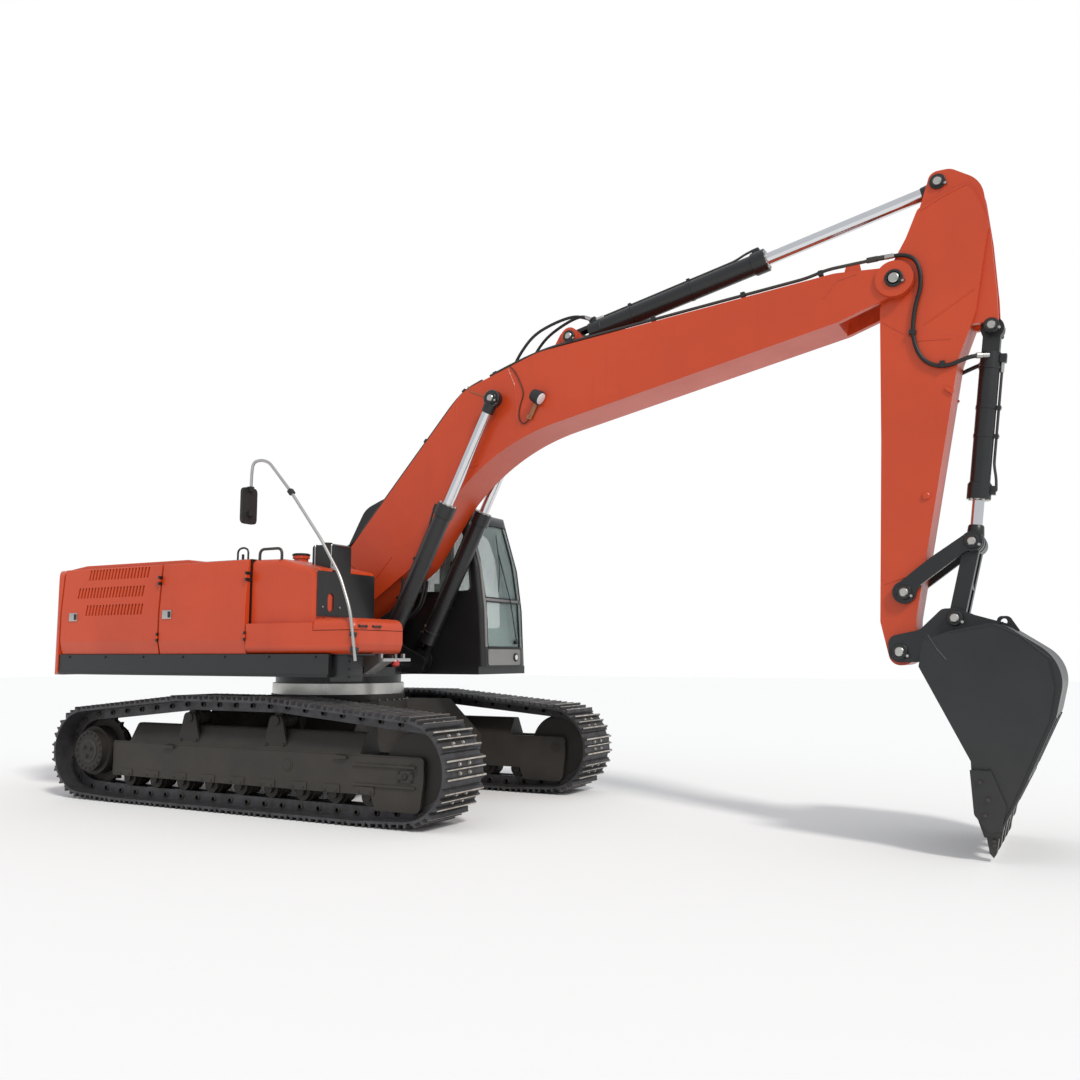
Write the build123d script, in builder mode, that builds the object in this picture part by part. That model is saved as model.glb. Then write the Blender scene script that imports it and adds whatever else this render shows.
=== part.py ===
from build123d import *
import math
import os

os.makedirs("parts", exist_ok=True)

# One crawler excavator with a counterweight, a backhoe boom, an arm and a bucket.
# Millimetres. X points forward along the boom, Y to the machine's left, Z up.
# The origin lies on the ground under the swing centre.

# pin centres as (x, z)
boom_foot_pin = (220, 2070)
boom_arm_pin = (5878, 4503)
arm_head_pin = (6228, 5300)
arm_base_pin = (2840, 4520)
boom_rod_pin = (2115, 3940)
boom_base_pin = (820, 1420)
bucket_base_pin = (6576, 4036)
bucket_pin = (5806, 1481)
rocker_pin = (5853, 1947)
link_top_pin = (6366, 2326)
link_low_pin = (6223, 1736)

# clearances
run_gap = 6
fit_gap = 0.3
seam = 8

# pin radii
foot_pin_r = 52
tip_pin_r = 52
cylinder_pin_r = 42
bucket_pin_r = 45
hinge_pin_r = 6
hinge_r = 10

# undercarriage
gauge = 2600
shoe_width = 600
wheel_x = 2015
wheel_z = 480
pitch_radius = 366.5
shoe_count = 48
link_inner = 55
link_outer = 44
plate_thick = 16
grouser_tall = 30
rail_low = 55
rail_high = 95
roller_x = 1520
roller_radius = 85
roller_count = 9
roller_z = 90 + link_inner + roller_radius
carrier_xs = (-669, 448)
carrier_z = 855
carrier_radius = 70
side_frame_half = 150
side_frame_low = 250
side_frame_top = 590
ring_radius = 700
ring_low = 1060
ring_top = 1170

# upper structure
deck_low = 1256
deck_top = 1340
skirt_top = 1465
roof_z = 2375
house_half = 1480
deck_half = 1420
house_rear = -2620
boom_half = 235
boom_plate_in = boom_half + run_gap
boom_plate_out = boom_plate_in + 42

# cylinders
boom_cyl_y = 335
rod_gap = 5


def outline(rows):
    """A closed face in the XZ plane. Rows: x, z, corner radius."""
    with BuildSketch(Plane.XZ) as face:
        with BuildLine():
            Polyline(*[(x, z) for x, z, _ in rows], close=True)
        make_face()
        for x, z, radius in rows:
            if radius:
                fillet(face.vertices().sort_by_distance((x, z))[0], radius)
    return face.sketch


def plate(rows, y_low, y_high, mode=Mode.ADD):
    """The outline as a plate between two Y values, given in either order."""
    y_low, y_high = sorted((y_low, y_high))
    face = outline(rows).moved(Location((0, y_high, 0)))
    extrude(face, amount=y_high - y_low, dir=(0, -1, 0), mode=mode)


def side_outline(rows):
    """A closed face in the YZ plane. Rows: y, z, corner radius."""
    with BuildSketch(Plane.YZ) as face:
        with BuildLine():
            Polyline(*[(y, z) for y, z, _ in rows], close=True)
        make_face()
        for y, z, radius in rows:
            if radius:
                fillet(face.vertices().sort_by_distance((y, z))[0], radius)
    return face.sketch


def run(rows, x_low, x_high, mode=Mode.ADD):
    """A YZ outline carried along X, between two X values."""
    face = side_outline(rows).moved(Location((x_low, 0, 0)))
    extrude(face, amount=x_high - x_low, dir=(1, 0, 0), mode=mode)


def bar(x, z, radius, y_low, y_high, mode=Mode.ADD):
    """A round bar along Y, between two Y values in either order."""
    y_low, y_high = sorted((y_low, y_high))
    with Locations(Location((x, (y_low + y_high) / 2, z), (90, 0, 0))):
        Cylinder(radius, y_high - y_low, mode=mode)


def block(x_low, x_high, y_low, y_high, z_low, z_high, mode=Mode.ADD):
    """A box from its limits, Y in either order."""
    y_low, y_high = sorted((y_low, y_high))
    with Locations(((x_low + x_high) / 2, (y_low + y_high) / 2, (z_low + z_high) / 2)):
        Box(x_high - x_low, y_high - y_low, z_high - z_low, mode=mode)


def hinge_pin(x, y, z_low, z_high, reach_x, reach_y):
    """The fixed half of an upright hinge: its pin, two end knuckles and the leaf behind them."""
    third = (z_high - z_low) / 3
    with Locations((x, y, (z_low + z_high) / 2)):
        Cylinder(hinge_pin_r, z_high - z_low)
    for level in (z_low, z_high - third):
        with Locations((x, y, level + third / 2)):
            Cylinder(hinge_r, third)
        block(min(x, x + reach_x) - 2, max(x, x + reach_x) + 2, y, y + reach_y, level, level + third)


def hinge_eye(x, y, z_low, z_high, reach_x, reach_y):
    """The moving half: the middle knuckle and its leaf on the door."""
    third = (z_high - z_low) / 3
    low, high = z_low + third + fit_gap, z_high - third - fit_gap
    block(min(x, x + reach_x), max(x, x + reach_x), y, y + reach_y, low, high)
    with Locations((x, y, (low + high) / 2)):
        Cylinder(hinge_r, high - low)
        Cylinder(hinge_pin_r + fit_gap, high - low, mode=Mode.SUBTRACT)


def save(builder, name):
    """Names the part and writes its STEP file."""
    builder.part.label = name
    export_step(builder.part, f"parts/{name}.step")


# undercarriage

loop_wheels = [  # x, z, radius of the pin line round it
    (-wheel_x, wheel_z, pitch_radius),
    (wheel_x, wheel_z, pitch_radius),
    (-roller_x, roller_z, roller_radius + link_inner),
    (roller_x, roller_z, roller_radius + link_inner),
    (carrier_xs[0], carrier_z, carrier_radius + link_inner),
    (carrier_xs[1], carrier_z, carrier_radius + link_inner),
]
with BuildSketch(Plane.XZ) as pin_line:
    for x, z, radius in loop_wheels:
        with Locations((x, z)):
            Circle(radius)
    make_hull()
loop_wire = pin_line.sketch_local.faces()[0].outer_wire()

shoe_spots = []
for index in range(shoe_count):
    point = loop_wire.position_at((index + 0.5) / shoe_count)
    along = loop_wire.tangent_at((index + 0.5) / shoe_count)
    turn = math.degrees(math.atan2(along.Y, along.X))
    if -along.Y * point.X + along.X * (point.Y - 520) < 0:
        turn += 180
    shoe_spots.append(Location((point.X, point.Y, 0), (0, 0, turn)))

shoe_base = link_outer + plate_thick
shoe_tip = shoe_base + grouser_tall
shoe_points = [(-100, link_outer - 4), (-100, shoe_base)]
for bar_x, bar_half in ((-78, 10), (-6, 8), (74, 10)):
    shoe_points += [(bar_x - bar_half - 6, shoe_base), (bar_x - bar_half + 3, shoe_tip)]
    shoe_points += [(bar_x + bar_half - 3, shoe_tip), (bar_x + bar_half + 6, shoe_base)]
shoe_points += [(104, shoe_base), (104, link_outer - 4)]
with BuildSketch() as shoe:
    with BuildLine():
        Polyline(*shoe_points, close=True)
    make_face()

with BuildSketch(Plane.XZ) as shoe_belt:
    offset(pin_line.sketch_local, amount=link_outer + 6)
    offset(pin_line.sketch_local, amount=link_outer - 6, mode=Mode.SUBTRACT)
    with Locations(*shoe_spots):
        add(shoe.sketch)

with BuildSketch(Plane.XZ) as rail_ring:
    offset(pin_line.sketch_local, amount=link_outer)
    offset(pin_line.sketch_local, amount=-link_inner, mode=Mode.SUBTRACT)

with BuildPart() as track_right:
    extrude(shoe_belt.sketch.moved(Location((0, -gauge / 2, 0))), amount=shoe_width / 2, both=True)
    for rail_y in (-(rail_low + rail_high) / 2, (rail_low + rail_high) / 2):
        rail = rail_ring.sketch.moved(Location((0, rail_y - gauge / 2, 0)))
        extrude(rail, amount=(rail_high - rail_low) / 2, both=True)
save(track_right, "track_right")

with BuildPart() as track_left:
    with Locations((0, gauge, 0)):
        add(track_right.part)
save(track_left, "track_left")

# side frames: a ridged box over the rollers, a fork for the idler with a guard below it,
# and a plate that ends at the final drive
frame_rear = -1710
ridge_z = 775


def ridge_rows(mid):
    """The sloping cover of a side frame, as a YZ outline."""
    return [
        (mid - side_frame_half, side_frame_top - 2, 0), (mid - 45, ridge_z, 40),
        (mid + 45, ridge_z, 40), (mid + side_frame_half, side_frame_top - 2, 0),
    ]


with BuildPart() as side_frames:
    for side in (-1, 1):
        mid = side * gauge / 2
        body_rows = [  # x, z, corner radius
            (-1860, side_frame_low, 0), (1575, side_frame_low, 0), (1625, 125, 30),
            (2090, 125, 60), (2130, 400, 40), (2130, side_frame_top, 40),
            (-1860, side_frame_top, 0),
        ]
        plate(body_rows, mid - side_frame_half, mid + side_frame_half)
        run(ridge_rows(mid), -1480, 1450)
        block(-1700, 1640, mid - 125, mid + 125, side_frame_low - 10, 345, mode=Mode.SUBTRACT)
        block(1480, 2200, mid - 104, mid + 104, 100, 700, mode=Mode.SUBTRACT)
        block(-1900, -1560, mid - 110, mid + 110, 200, 700, mode=Mode.SUBTRACT)
        block(-1900, frame_rear, mid, mid + side * 160, 200, 700, mode=Mode.SUBTRACT)
        bar(-wheel_x, wheel_z, 245, mid - 160, mid + 160, mode=Mode.SUBTRACT)
        bar(wheel_x, wheel_z, 60, mid - 160, mid + 160, mode=Mode.SUBTRACT)
        bar(624, 460, 42, mid + side * 120, mid + side * 160, mode=Mode.SUBTRACT)
save(side_frames, "side_frames")

# carbody: centre box with four legs that reach the side frames
leg_reach = gauge / 2 - side_frame_half
with BuildPart() as carbody:
    with BuildSketch(Plane.XY.offset(430)):
        Circle(ring_radius + 60)
        for x_sign, y_sign in ((1, 1), (1, -1), (-1, 1), (-1, -1)):
            with BuildLine():
                Polyline(
                    (x_sign * 80, y_sign * 500),
                    (x_sign * 700, y_sign * 200),
                    (x_sign * 1080, y_sign * leg_reach),
                    (x_sign * 520, y_sign * leg_reach),
                    close=True,
                )
            make_face()
    extrude(amount=560)
    with BuildSketch(Plane.YZ) as leg_side:
        with BuildLine():
            Polyline(
                (-leg_reach, 430), (leg_reach, 430), (leg_reach, 585), (760, 990),
                (-760, 990), (-leg_reach, 585), close=True,
            )
        make_face()
    extrude(amount=1200, both=True, mode=Mode.INTERSECT)
    with Locations((0, 0, (990 + ring_low) / 2)):
        Cylinder(ring_radius, ring_low - 990)
save(carbody, "carbody")

with BuildPart() as slewing_ring:
    with Locations((0, 0, (ring_low + ring_top) / 2)):
        Cylinder(ring_radius - 10, ring_top - ring_low)
        Cylinder(ring_radius - 170, ring_top - ring_low, mode=Mode.SUBTRACT)
save(slewing_ring, "slewing_ring")

with BuildPart() as sprockets:
    for side in (-1, 1):
        mid = side * gauge / 2
        with BuildSketch(Plane.XZ.offset(-mid)):
            with Locations((-wheel_x, wheel_z)):
                Circle(332)
                with PolarLocations(330, 21):
                    Trapezoid(56, 76, 70, rotation=-90)
        extrude(amount=26, both=True)
        bar(-wheel_x, wheel_z, 245, mid - side * 140, mid - side * 20)
        bar(-wheel_x, wheel_z, 245, mid + side * 20, mid + side * 150)
        bar(-wheel_x, wheel_z, 205, mid + side * 149, mid + side * 215)
        bar(-wheel_x, wheel_z, 90, mid + side * 214, mid + side * 228)
save(sprockets, "sprockets")

with BuildPart() as idlers:
    for side in (-1, 1):
        mid = side * gauge / 2
        bar(wheel_x, wheel_z, pitch_radius - link_inner - fit_gap, mid - 96, mid + 96)
        bar(wheel_x, wheel_z, pitch_radius - link_inner + 24, mid - 48, mid + 48)
        bar(wheel_x, wheel_z, 60, mid - 150, mid + 150)
save(idlers, "idlers")

with BuildPart() as lower_rollers:
    for side in (-1, 1):
        mid = side * gauge / 2
        for index in range(roller_count):
            x = -roller_x + index * 2 * roller_x / (roller_count - 1)
            bar(x, roller_z, roller_radius - fit_gap, mid - 96, mid + 96)
            bar(x, roller_z, roller_radius + 16, mid - 48, mid + 48)
            bar(x, roller_z, 38, mid - 125, mid + 125)
save(lower_rollers, "lower_rollers")

with BuildPart() as carrier_rollers:
    for side in (-1, 1):
        mid = side * gauge / 2
        for x in carrier_xs:
            bar(x, carrier_z, carrier_radius - fit_gap, mid - 96, mid + 96)
            bar(x, carrier_z, carrier_radius + 14, mid - 48, mid + 48)
            bar(x, carrier_z, 30, mid - 130, mid + 130)
            stand = [(x - 150, side_frame_top, 0), (x + 150, side_frame_top, 0),
                     (x + 70, carrier_z + 45, 50), (x - 70, carrier_z + 45, 50)]
            plate(stand, mid - 130, mid - 104)
            plate(stand, mid + 104, mid + 130)
        run(ridge_rows(mid), -1480, 1450, mode=Mode.SUBTRACT)
save(carrier_rollers, "carrier_rollers")

# upper structure

with BuildPart() as revolving_frame:
    with BuildSketch(Plane.XY.offset(deck_low)):
        with BuildLine():
            Polyline(
                (house_rear, -deck_half), (700, -deck_half), (1090, -deck_half), (1090, -470), (640, -470),
                (640, 450), (1480, 450), (1480, deck_half), (house_rear, deck_half), close=True,
            )
        make_face()
    extrude(amount=deck_top - deck_low)
    with Locations((0, 0, (ring_top + fit_gap + deck_low) / 2)):
        Cylinder(ring_radius - 40, deck_low - ring_top - fit_gap)
    for side in (-1, 1):
        side_rows = [  # x, z, corner radius
            (house_rear, deck_top - 2, 0),
            (890, deck_low + 20, 60),
            (950, 1420, 60),
            (640, 1560, 80),
            (400, 2215, 130),
            (40, 2225, 130),
            (-520, 1760, 80),
            (house_rear, 1600, 0),
        ]
        plate(side_rows, side * boom_plate_in, side * boom_plate_out)
        lug_rows = [
            (500, deck_low + 5, 0),
            (880, deck_low + 30, 60),
            (940, 1430, 60),
            (820, 1540, 60),
            (500, 1500, 0),
        ]
        plate(lug_rows, side * (boom_cyl_y + 42), side * (boom_cyl_y + 70))
        bar(*boom_foot_pin, 110, side * (boom_plate_out - 2), side * (boom_plate_out + 40))
    block(house_rear, -1900, -boom_plate_in - 4, boom_plate_in + 4, deck_top - 2, 1600)
    bar(*boom_foot_pin, foot_pin_r, -boom_plate_out - 45, boom_plate_out + 45)
    for side in (-1, 1):
        bar(*boom_base_pin, cylinder_pin_r, side * (boom_plate_in + 2), side * (boom_cyl_y + 80))
save(revolving_frame, "revolving_frame")

# counterweight: curved in plan, bulging low down at the back, with rounded rims
tail_x = -3190
weight_low = deck_low - 6
with BuildPart() as counterweight:
    with BuildSketch(Plane.XY.offset(weight_low)):
        with BuildLine():
            Line((house_rear, -house_half), (house_rear, house_half))
            Line((house_rear, house_half), (house_rear - 60, house_half))
            ThreePointArc((house_rear - 60, house_half), (tail_x, 0), (house_rear - 60, -house_half))
            Line((house_rear - 60, -house_half), (house_rear, -house_half))
        make_face()
    extrude(amount=roof_z - weight_low)
    for side in (-1, 1):
        corner = (house_rear - 60, side * house_half, 1800)
        fillet(counterweight.edges().filter_by(Axis.Z).sort_by_distance(corner)[0], 110)
    weight_rows = [  # x, z, corner radius
        (house_rear, weight_low, 0), (-3060, weight_low, 150), (tail_x, 1480, 200),
        (tail_x + 20, 1750, 0), (-3090, roof_z, 170), (house_rear, roof_z, 0),
    ]
    extrude(outline(weight_rows), amount=house_half + 10, both=True, mode=Mode.INTERSECT)
    lean_rows = [  # y, z, corner radius
        (-house_half, weight_low, 60), (house_half, weight_low, 60), (house_half, 1900, 0),
        (house_half - 34, roof_z, 90), (34 - house_half, roof_z, 90), (-house_half, 1900, 0),
    ]
    run(lean_rows, -3300, house_rear + 10, mode=Mode.INTERSECT)
    for side in (-1, 1):
        with Locations((-2860, side * 620, roof_z - 40)):
            Box(220, 150, 100, mode=Mode.SUBTRACT)
        with Locations(Location((-2860, side * 620, roof_z - 60), (90, 0, 0))):
            Cylinder(22, 152)
save(counterweight, "counterweight")

with BuildPart() as engine:
    block(-2300, -1500, -700, 760, 1690, 2250)
    block(-1880, -1600, -200, 200, deck_top, 1700)
save(engine, "engine")

# bodywork between the doors: posts, rails, firewall, fixed roof and the doors' hinges
right_seams = (house_rear + 6, -1110, 75)
left_seams = (house_rear + 6, -1500, -450)
post_in = 1340
hinge_y = house_half + hinge_r + 1
hinge_levels = ((1590, 1680), (2160, 2250))
hood_front = -748
hood_hinge = (hood_front + 14, roof_z + hinge_r + 1)
with BuildPart() as body_frame:
    for side, seams in ((-1, right_seams), (1, left_seams)):
        for low, high in ((2, 62), (seams[1] - seams[0] - 30, seams[1] - seams[0] + 30),
                          (seams[2] - seams[0] - 66, seams[2] - seams[0] + 4)):
            block(seams[0] + low, seams[0] + high, side * post_in, side * deck_half,
                  deck_top, roof_z - 60)
        block(house_rear + 8, seams[2] + 4, side * post_in, side * deck_half,
              roof_z - 120, roof_z - 60)
        block(seams[2] - 26, seams[2] + 4, side * 330, side * deck_half, deck_top, roof_z - 60)
        block(-700, seams[2] + 4, side * 330, side * deck_half, roof_z - 60, roof_z)
        block(hood_front + 8, -700, side * boom_plate_out, side * deck_half, deck_top, 1902)
        for x in seams[1:]:
            for low, high in hinge_levels:
                hinge_pin(x, side * hinge_y, low, high, 0, side * (deck_half - hinge_y))
    block(hood_front + 8, -700, -deck_half, deck_half, 1900, roof_z)
    for y in (-900, 900):
        bar(*hood_hinge, hinge_pin_r, y - 60, y + 60)
        for y_low, y_high in ((y - 60, y - 20), (y + 20, y + 60)):
            bar(*hood_hinge, hinge_r, y_low, y_high)
            block(hood_hinge[0] - 4, hood_hinge[0] + 24, y_low, y_high, roof_z, hood_hinge[1])
save(body_frame, "body_frame")

hood_half = deck_half - 2
hood_rise = 30
with BuildPart() as engine_hood:
    hood_rows = [
        (house_rear + 12, roof_z - 55, 0), (hood_front, roof_z - 55, 0),
        (hood_front, roof_z + hood_rise, 30), (-2300, roof_z + hood_rise, 120),
        (house_rear + 12, roof_z - 8, 40),
    ]
    plate(hood_rows, -hood_half, hood_half)
    inner_rows = [
        (house_rear + 40, roof_z - 60, 0), (hood_front - 28, roof_z - 60, 0),
        (hood_front - 28, roof_z + hood_rise - 24, 20), (-2300, roof_z + hood_rise - 24, 120),
        (house_rear + 40, roof_z - 32, 20),
    ]
    plate(inner_rows, 28 - hood_half, hood_half - 28, mode=Mode.SUBTRACT)
    for y in (-900, 900):
        block(hood_front - 6, hood_hinge[0], y - 20 + fit_gap, y + 20 - fit_gap,
              roof_z + 2, hood_hinge[1] + 6)
        bar(*hood_hinge, hinge_r, y - 20 + fit_gap, y + 20 - fit_gap)
        bar(*hood_hinge, hinge_pin_r + fit_gap, y - 20, y + 20, mode=Mode.SUBTRACT)
save(engine_hood, "engine_hood")

# side doors: a bent sheet with returned edges, hinged at its front seam, some with louvre rows
door_low, door_top = skirt_top + 4, roof_z - 4
sheet = 22


def door_rows(side, inset):
    """The bent section of a side door, drawn in from its outer face by the inset."""
    face = house_half - inset
    back = deck_half + 6 if inset == 0 else deck_half - 10
    return [  # y, z, corner radius
        (side * back, door_low + inset, 0),
        (side * (face - 30), door_low + inset, 0),
        (side * face, door_low + 130, 0),
        (side * face, 1900, 0),
        (side * (face - 34), door_top - inset, 16 if inset == 0 else 8),
        (side * back, door_top - inset, 0),
    ]


side_doors = [  # name, side, rear seam, front seam, louvre rows (x of the row's middle, z, columns)
    ("door_right_rear", -1, right_seams[0], right_seams[1],
     ((-1755, 2300, 19), (-1856, 2110, 21), (-1778, 1925, 18))),
    ("door_right_front", -1, right_seams[1], right_seams[2], ()),
    ("door_left_rear", 1, left_seams[0], left_seams[1],
     ((-2030, 2230, 14), (-2030, 2040, 14), (-2030, 1850, 14))),
    ("door_left_front", 1, left_seams[1], left_seams[2], ()),
]
for name, side, rear, front, slots in side_doors:
    with BuildPart() as door:
        rear_edge = rear + hinge_r + run_gap
        run(door_rows(side, 0), rear_edge, front - seam)
        run(door_rows(side, sheet), rear_edge + 26, front - seam - 26, mode=Mode.SUBTRACT)
        for slot_x, slot_z, columns in slots:
            with Locations(Location((slot_x, side * house_half, slot_z), (90, 0, 0))):
                with GridLocations(49, 0, columns, 1):
                    Box(22, 112, 160, rotation=(0, 0, side * 8), mode=Mode.SUBTRACT)
        for low, high in hinge_levels:
            hinge_eye(front, side * hinge_y, low, high, -40, side * (house_half - 34 - hinge_y))
    save(door, name)

with BuildPart() as side_skirts:
    for side, front in ((-1, 1090), (1, -460)):
        block(house_rear, front, side * deck_half, side * (house_half - 12), deck_low, skirt_top)
save(side_skirts, "side_skirts")

# fuel tank and tool box on the right, with a step between them
tank_x = (right_seams[2] + seam, 880)
tank_rows = [  # x, z, corner radius
    (tank_x[0], deck_top, 0), (tank_x[1], deck_top, 0), (tank_x[1], 2262, 50),
    (420, 2366, 260), (tank_x[0], 2372, 0),
]
with BuildPart() as fuel_tank:
    plate(tank_rows, -1410, -560)
    fillet(fuel_tank.edges().filter_by(Axis.Z).sort_by_distance((tank_x[1], -1410, 1800))[0], 70)
    with Locations((230, -900, 2390)):
        Cylinder(70, 60)
    with Locations((230, -900, 2425)):
        Cylinder(84, 26)
save(fuel_tank, "fuel_tank")

# black guard plate in front of the tank, with an oval sight hole, and the filter housing on top
with BuildPart() as tank_guard:
    block(tank_x[1], tank_x[1] + 14, -1400, -570, 1816, 2235)
    with BuildSketch(Plane.YZ.offset(tank_x[1] - 20)):
        with Locations((-1225, 1945)):
            SlotOverall(175, 84, rotation=90)
    extrude(amount=60, mode=Mode.SUBTRACT)
    housing = [(620, 2200, 0), (tank_x[1] + 14, 2200, 0), (tank_x[1] + 14, 2500, 30), (620, 2500, 30)]
    plate(housing, -1180, -940)
    plate(tank_rows, -1412, -558, mode=Mode.SUBTRACT)
    with Locations((700, -1060, 2512)):
        Cylinder(46, 40)
save(tank_guard, "tank_guard")

lid_hinge = (893, 1794)
box_front = 1385
lid_seam = 1680
with BuildPart() as tool_box:
    plate([  # x, z, corner radius
        (right_seams[2] + seam, skirt_top, 0), (904, skirt_top, 0),
        (904, 1752, 0), (right_seams[2] + seam, 1752, 0),
    ], -house_half, -1412)
    plate([
        (880, skirt_top, 0), (box_front - 30, skirt_top, 60), (box_front, 1560, 90),
        (box_front, lid_seam - 3, 0), (904, lid_seam - 3, 0), (904, 1752, 0), (880, 1752, 0),
    ], -house_half, -760)
    fillet(tool_box.edges().filter_by(Axis.Z).sort_by_distance((box_front, -house_half, 1640))[0], 80)
    for y in (-1250, -990):
        bar(*lid_hinge, hinge_pin_r, y - 60, y + 60)
        for y_low, y_high in ((y - 60, y - 20), (y + 20, y + 60)):
            bar(*lid_hinge, hinge_r, y_low, y_high)
            block(lid_hinge[0] - 1, lid_hinge[0] + 3, y_low, y_high, 1700, lid_hinge[1])
save(tool_box, "tool_box")

with BuildPart() as tool_box_lid:
    plate([  # x, z, corner radius
        (912, lid_seam + 3, 0), (box_front, lid_seam + 3, 0), (box_front, 1790, 95), (912, 1790, 0),
    ], -house_half, -760)
    corner = (box_front, -house_half, lid_seam + 5)
    fillet(tool_box_lid.edges().filter_by(Axis.Z).sort_by_distance(corner)[0], 80)
    for y in (-1250, -990):
        block(lid_hinge[0], 930, y - 20 + fit_gap, y + 20 - fit_gap, 1779, 1790)
        bar(*lid_hinge, hinge_r, y - 20 + fit_gap, y + 20 - fit_gap)
        bar(*lid_hinge, hinge_pin_r + fit_gap, y - 20, y + 20, mode=Mode.SUBTRACT)
save(tool_box_lid, "tool_box_lid")

# cab: a shell whose front leans back and whose far front corner is round in plan
cab_right, cab_left = 455, 1500
cab_rear = -420
cab_floor = 1400
cab_wall = 45
corner_far, corner_near, corner_rear = 290, 55, 80
cab_hinge = (383, cab_left + hinge_r + 1)
cab_hinge_levels = ((1620, 1710), (2420, 2510))
cab_fronts = [  # z, x of the front face
    (deck_top, 1548), (1950, 1520), (2400, 1458), (2995, 1275), (3300, 1180),
]
cab_rows = [  # x, z, corner radius
    (1548, deck_top, 0), (1520, 1950, 900), (1458, 2400, 900), (1275, 2995, 150),
    (330, 3250, 500), (-50, 3105, 250), (-385, 2520, 100), (cab_rear, 2380, 100),
    (cab_rear, deck_top, 0),
]


def cab_body(inset, floor):
    """The cab's outer form, drawn in on all sides by the inset."""
    right, left, rear = cab_right + inset, cab_left - inset, cab_rear + inset
    with BuildPart() as body:
        for z, front_x in cab_fronts:
            front = front_x - inset
            with BuildSketch(Plane.XY.offset(z)) as section:
                with BuildLine():
                    Polyline((rear, right), (front, right), (front, left), (rear, left), close=True)
                make_face()
                for spot, radius in (
                    ((front, left), corner_far), ((front, right), corner_near),
                    ((rear, left), corner_rear), ((rear, right), corner_rear),
                ):
                    fillet(section.vertices().sort_by_distance(spot)[0], max(radius - inset, 6))
        loft(ruled=True)
        with BuildSketch(Plane.XZ) as side_face:
            add(outline(cab_rows))
            if inset:
                offset(amount=-inset, kind=Kind.INTERSECTION, mode=Mode.REPLACE)
        extrude(side_face.sketch, amount=2000, both=True, mode=Mode.INTERSECT)
        if floor > deck_top:
            block(-900, 2000, 0, 2000, 1000, floor, mode=Mode.SUBTRACT)
    return body.part


side_glass = [  # x, z, corner radius: the right pane, over the wall that the boom cylinders pass
    (1375, 2130, 60), (1330, 2560, 200), (1235, 2860, 90), (1080, 2960, 90),
    (520, 2990, 60), (520, 2130, 60),
]
rear_glass = [
    (440, 2050, 60), (440, 2990, 60), (120, 2975, 60), (-220, 2640, 60), (-260, 2050, 60),
]
rear_left_glass = [
    (290, 2050, 60), (290, 2990, 60), (60, 2950, 60), (-220, 2640, 60), (-260, 2050, 60),
]
door_hole = [
    (1200, 1480, 60), (1185, 2060, 0), (1120, 2580, 200), (1010, 2860, 90),
    (860, 2985, 90), (380, 3020, 60), (380, 1480, 60),
]
door_rows_out = [
    (1194, 1486, 54), (1179, 2060, 0), (1114, 2577, 200), (1005, 2854, 86),
    (858, 2979, 86), (386, 3013, 54), (386, 1486, 54),
]
door_pane = [
    (1130, 1760, 50), (1120, 2060, 0), (1060, 2560, 180), (960, 2800, 70),
    (840, 2900, 70), (450, 2930, 40), (450, 1760, 50),
]
front_right, front_left = cab_right + 75, cab_left - 125
front_bands = ((1540, 2028), (2064, 2890))
roof_hatch = (250, 850, cab_right + 220, cab_left - 220)
with BuildPart() as cab_shell:
    add(cab_body(0, deck_top))
    add(cab_body(cab_wall, cab_floor), mode=Mode.SUBTRACT)
    plate(side_glass, cab_right - 10, cab_right + 60, mode=Mode.SUBTRACT)
    plate(rear_glass, cab_right - 10, cab_right + 60, mode=Mode.SUBTRACT)
    plate(rear_left_glass, cab_left - 60, cab_left + 10, mode=Mode.SUBTRACT)
    plate(door_hole, cab_left - 60, cab_left + 10, mode=Mode.SUBTRACT)
    for low, high in front_bands:
        block(1150, 1700, front_right, front_left, low, high, mode=Mode.SUBTRACT)
    block(-500, -100, cab_right + 90, cab_left - 90, 2050, 2760, mode=Mode.SUBTRACT)
    block(roof_hatch[0], roof_hatch[1], roof_hatch[2], roof_hatch[3], 3050, 3400, mode=Mode.SUBTRACT)
    for low, high in cab_hinge_levels:
        hinge_pin(*cab_hinge, low, high, -34, -hinge_r - 1)
save(cab_shell, "cab_shell")

with BuildPart() as cab_door:
    plate(door_rows_out, cab_left - 34, cab_left)
    plate(door_pane, cab_left - 60, cab_left + 10, mode=Mode.SUBTRACT)
    for low, high in cab_hinge_levels:
        hinge_eye(*cab_hinge, low, high, 40, -hinge_r - 1)
save(cab_door, "cab_door")

with BuildPart() as cab_glass:
    add(cab_body(12, 1500))
    add(cab_body(20, 1450), mode=Mode.SUBTRACT)
    with BuildPart(mode=Mode.INTERSECT):
        for low, high in front_bands:
            block(1150, 1700, front_right, front_left, low, high)
        block(-500, -100, cab_right + 90, cab_left - 90, 2050, 2760)
        block(roof_hatch[0], roof_hatch[1], roof_hatch[2], roof_hatch[3], 3050, 3400)
    plate(side_glass, cab_right + 12, cab_right + 20)
    plate(rear_glass, cab_right + 12, cab_right + 20)
    plate(rear_left_glass, cab_left - 20, cab_left - 12)
save(cab_glass, "cab_glass")

with BuildPart() as door_glass:
    plate(door_pane, cab_left - 20, cab_left - 12)
save(door_glass, "door_glass")

with BuildPart() as seat:
    block(180, 640, 760, 1240, 1400, 1720)
    block(240, 760, 720, 1280, 1720, 1860)
    plate([(180, 1840, 0), (320, 1840, 60), (220, 2480, 60), (80, 2480, 60), (120, 1900, 0)], 750, 1250)
    plate([(110, 2490, 30), (210, 2490, 30), (190, 2700, 30), (90, 2700, 30)], 880, 1120)
    block(108, 190, 940, 1060, 2470, 2500)
save(seat, "seat")

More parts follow.
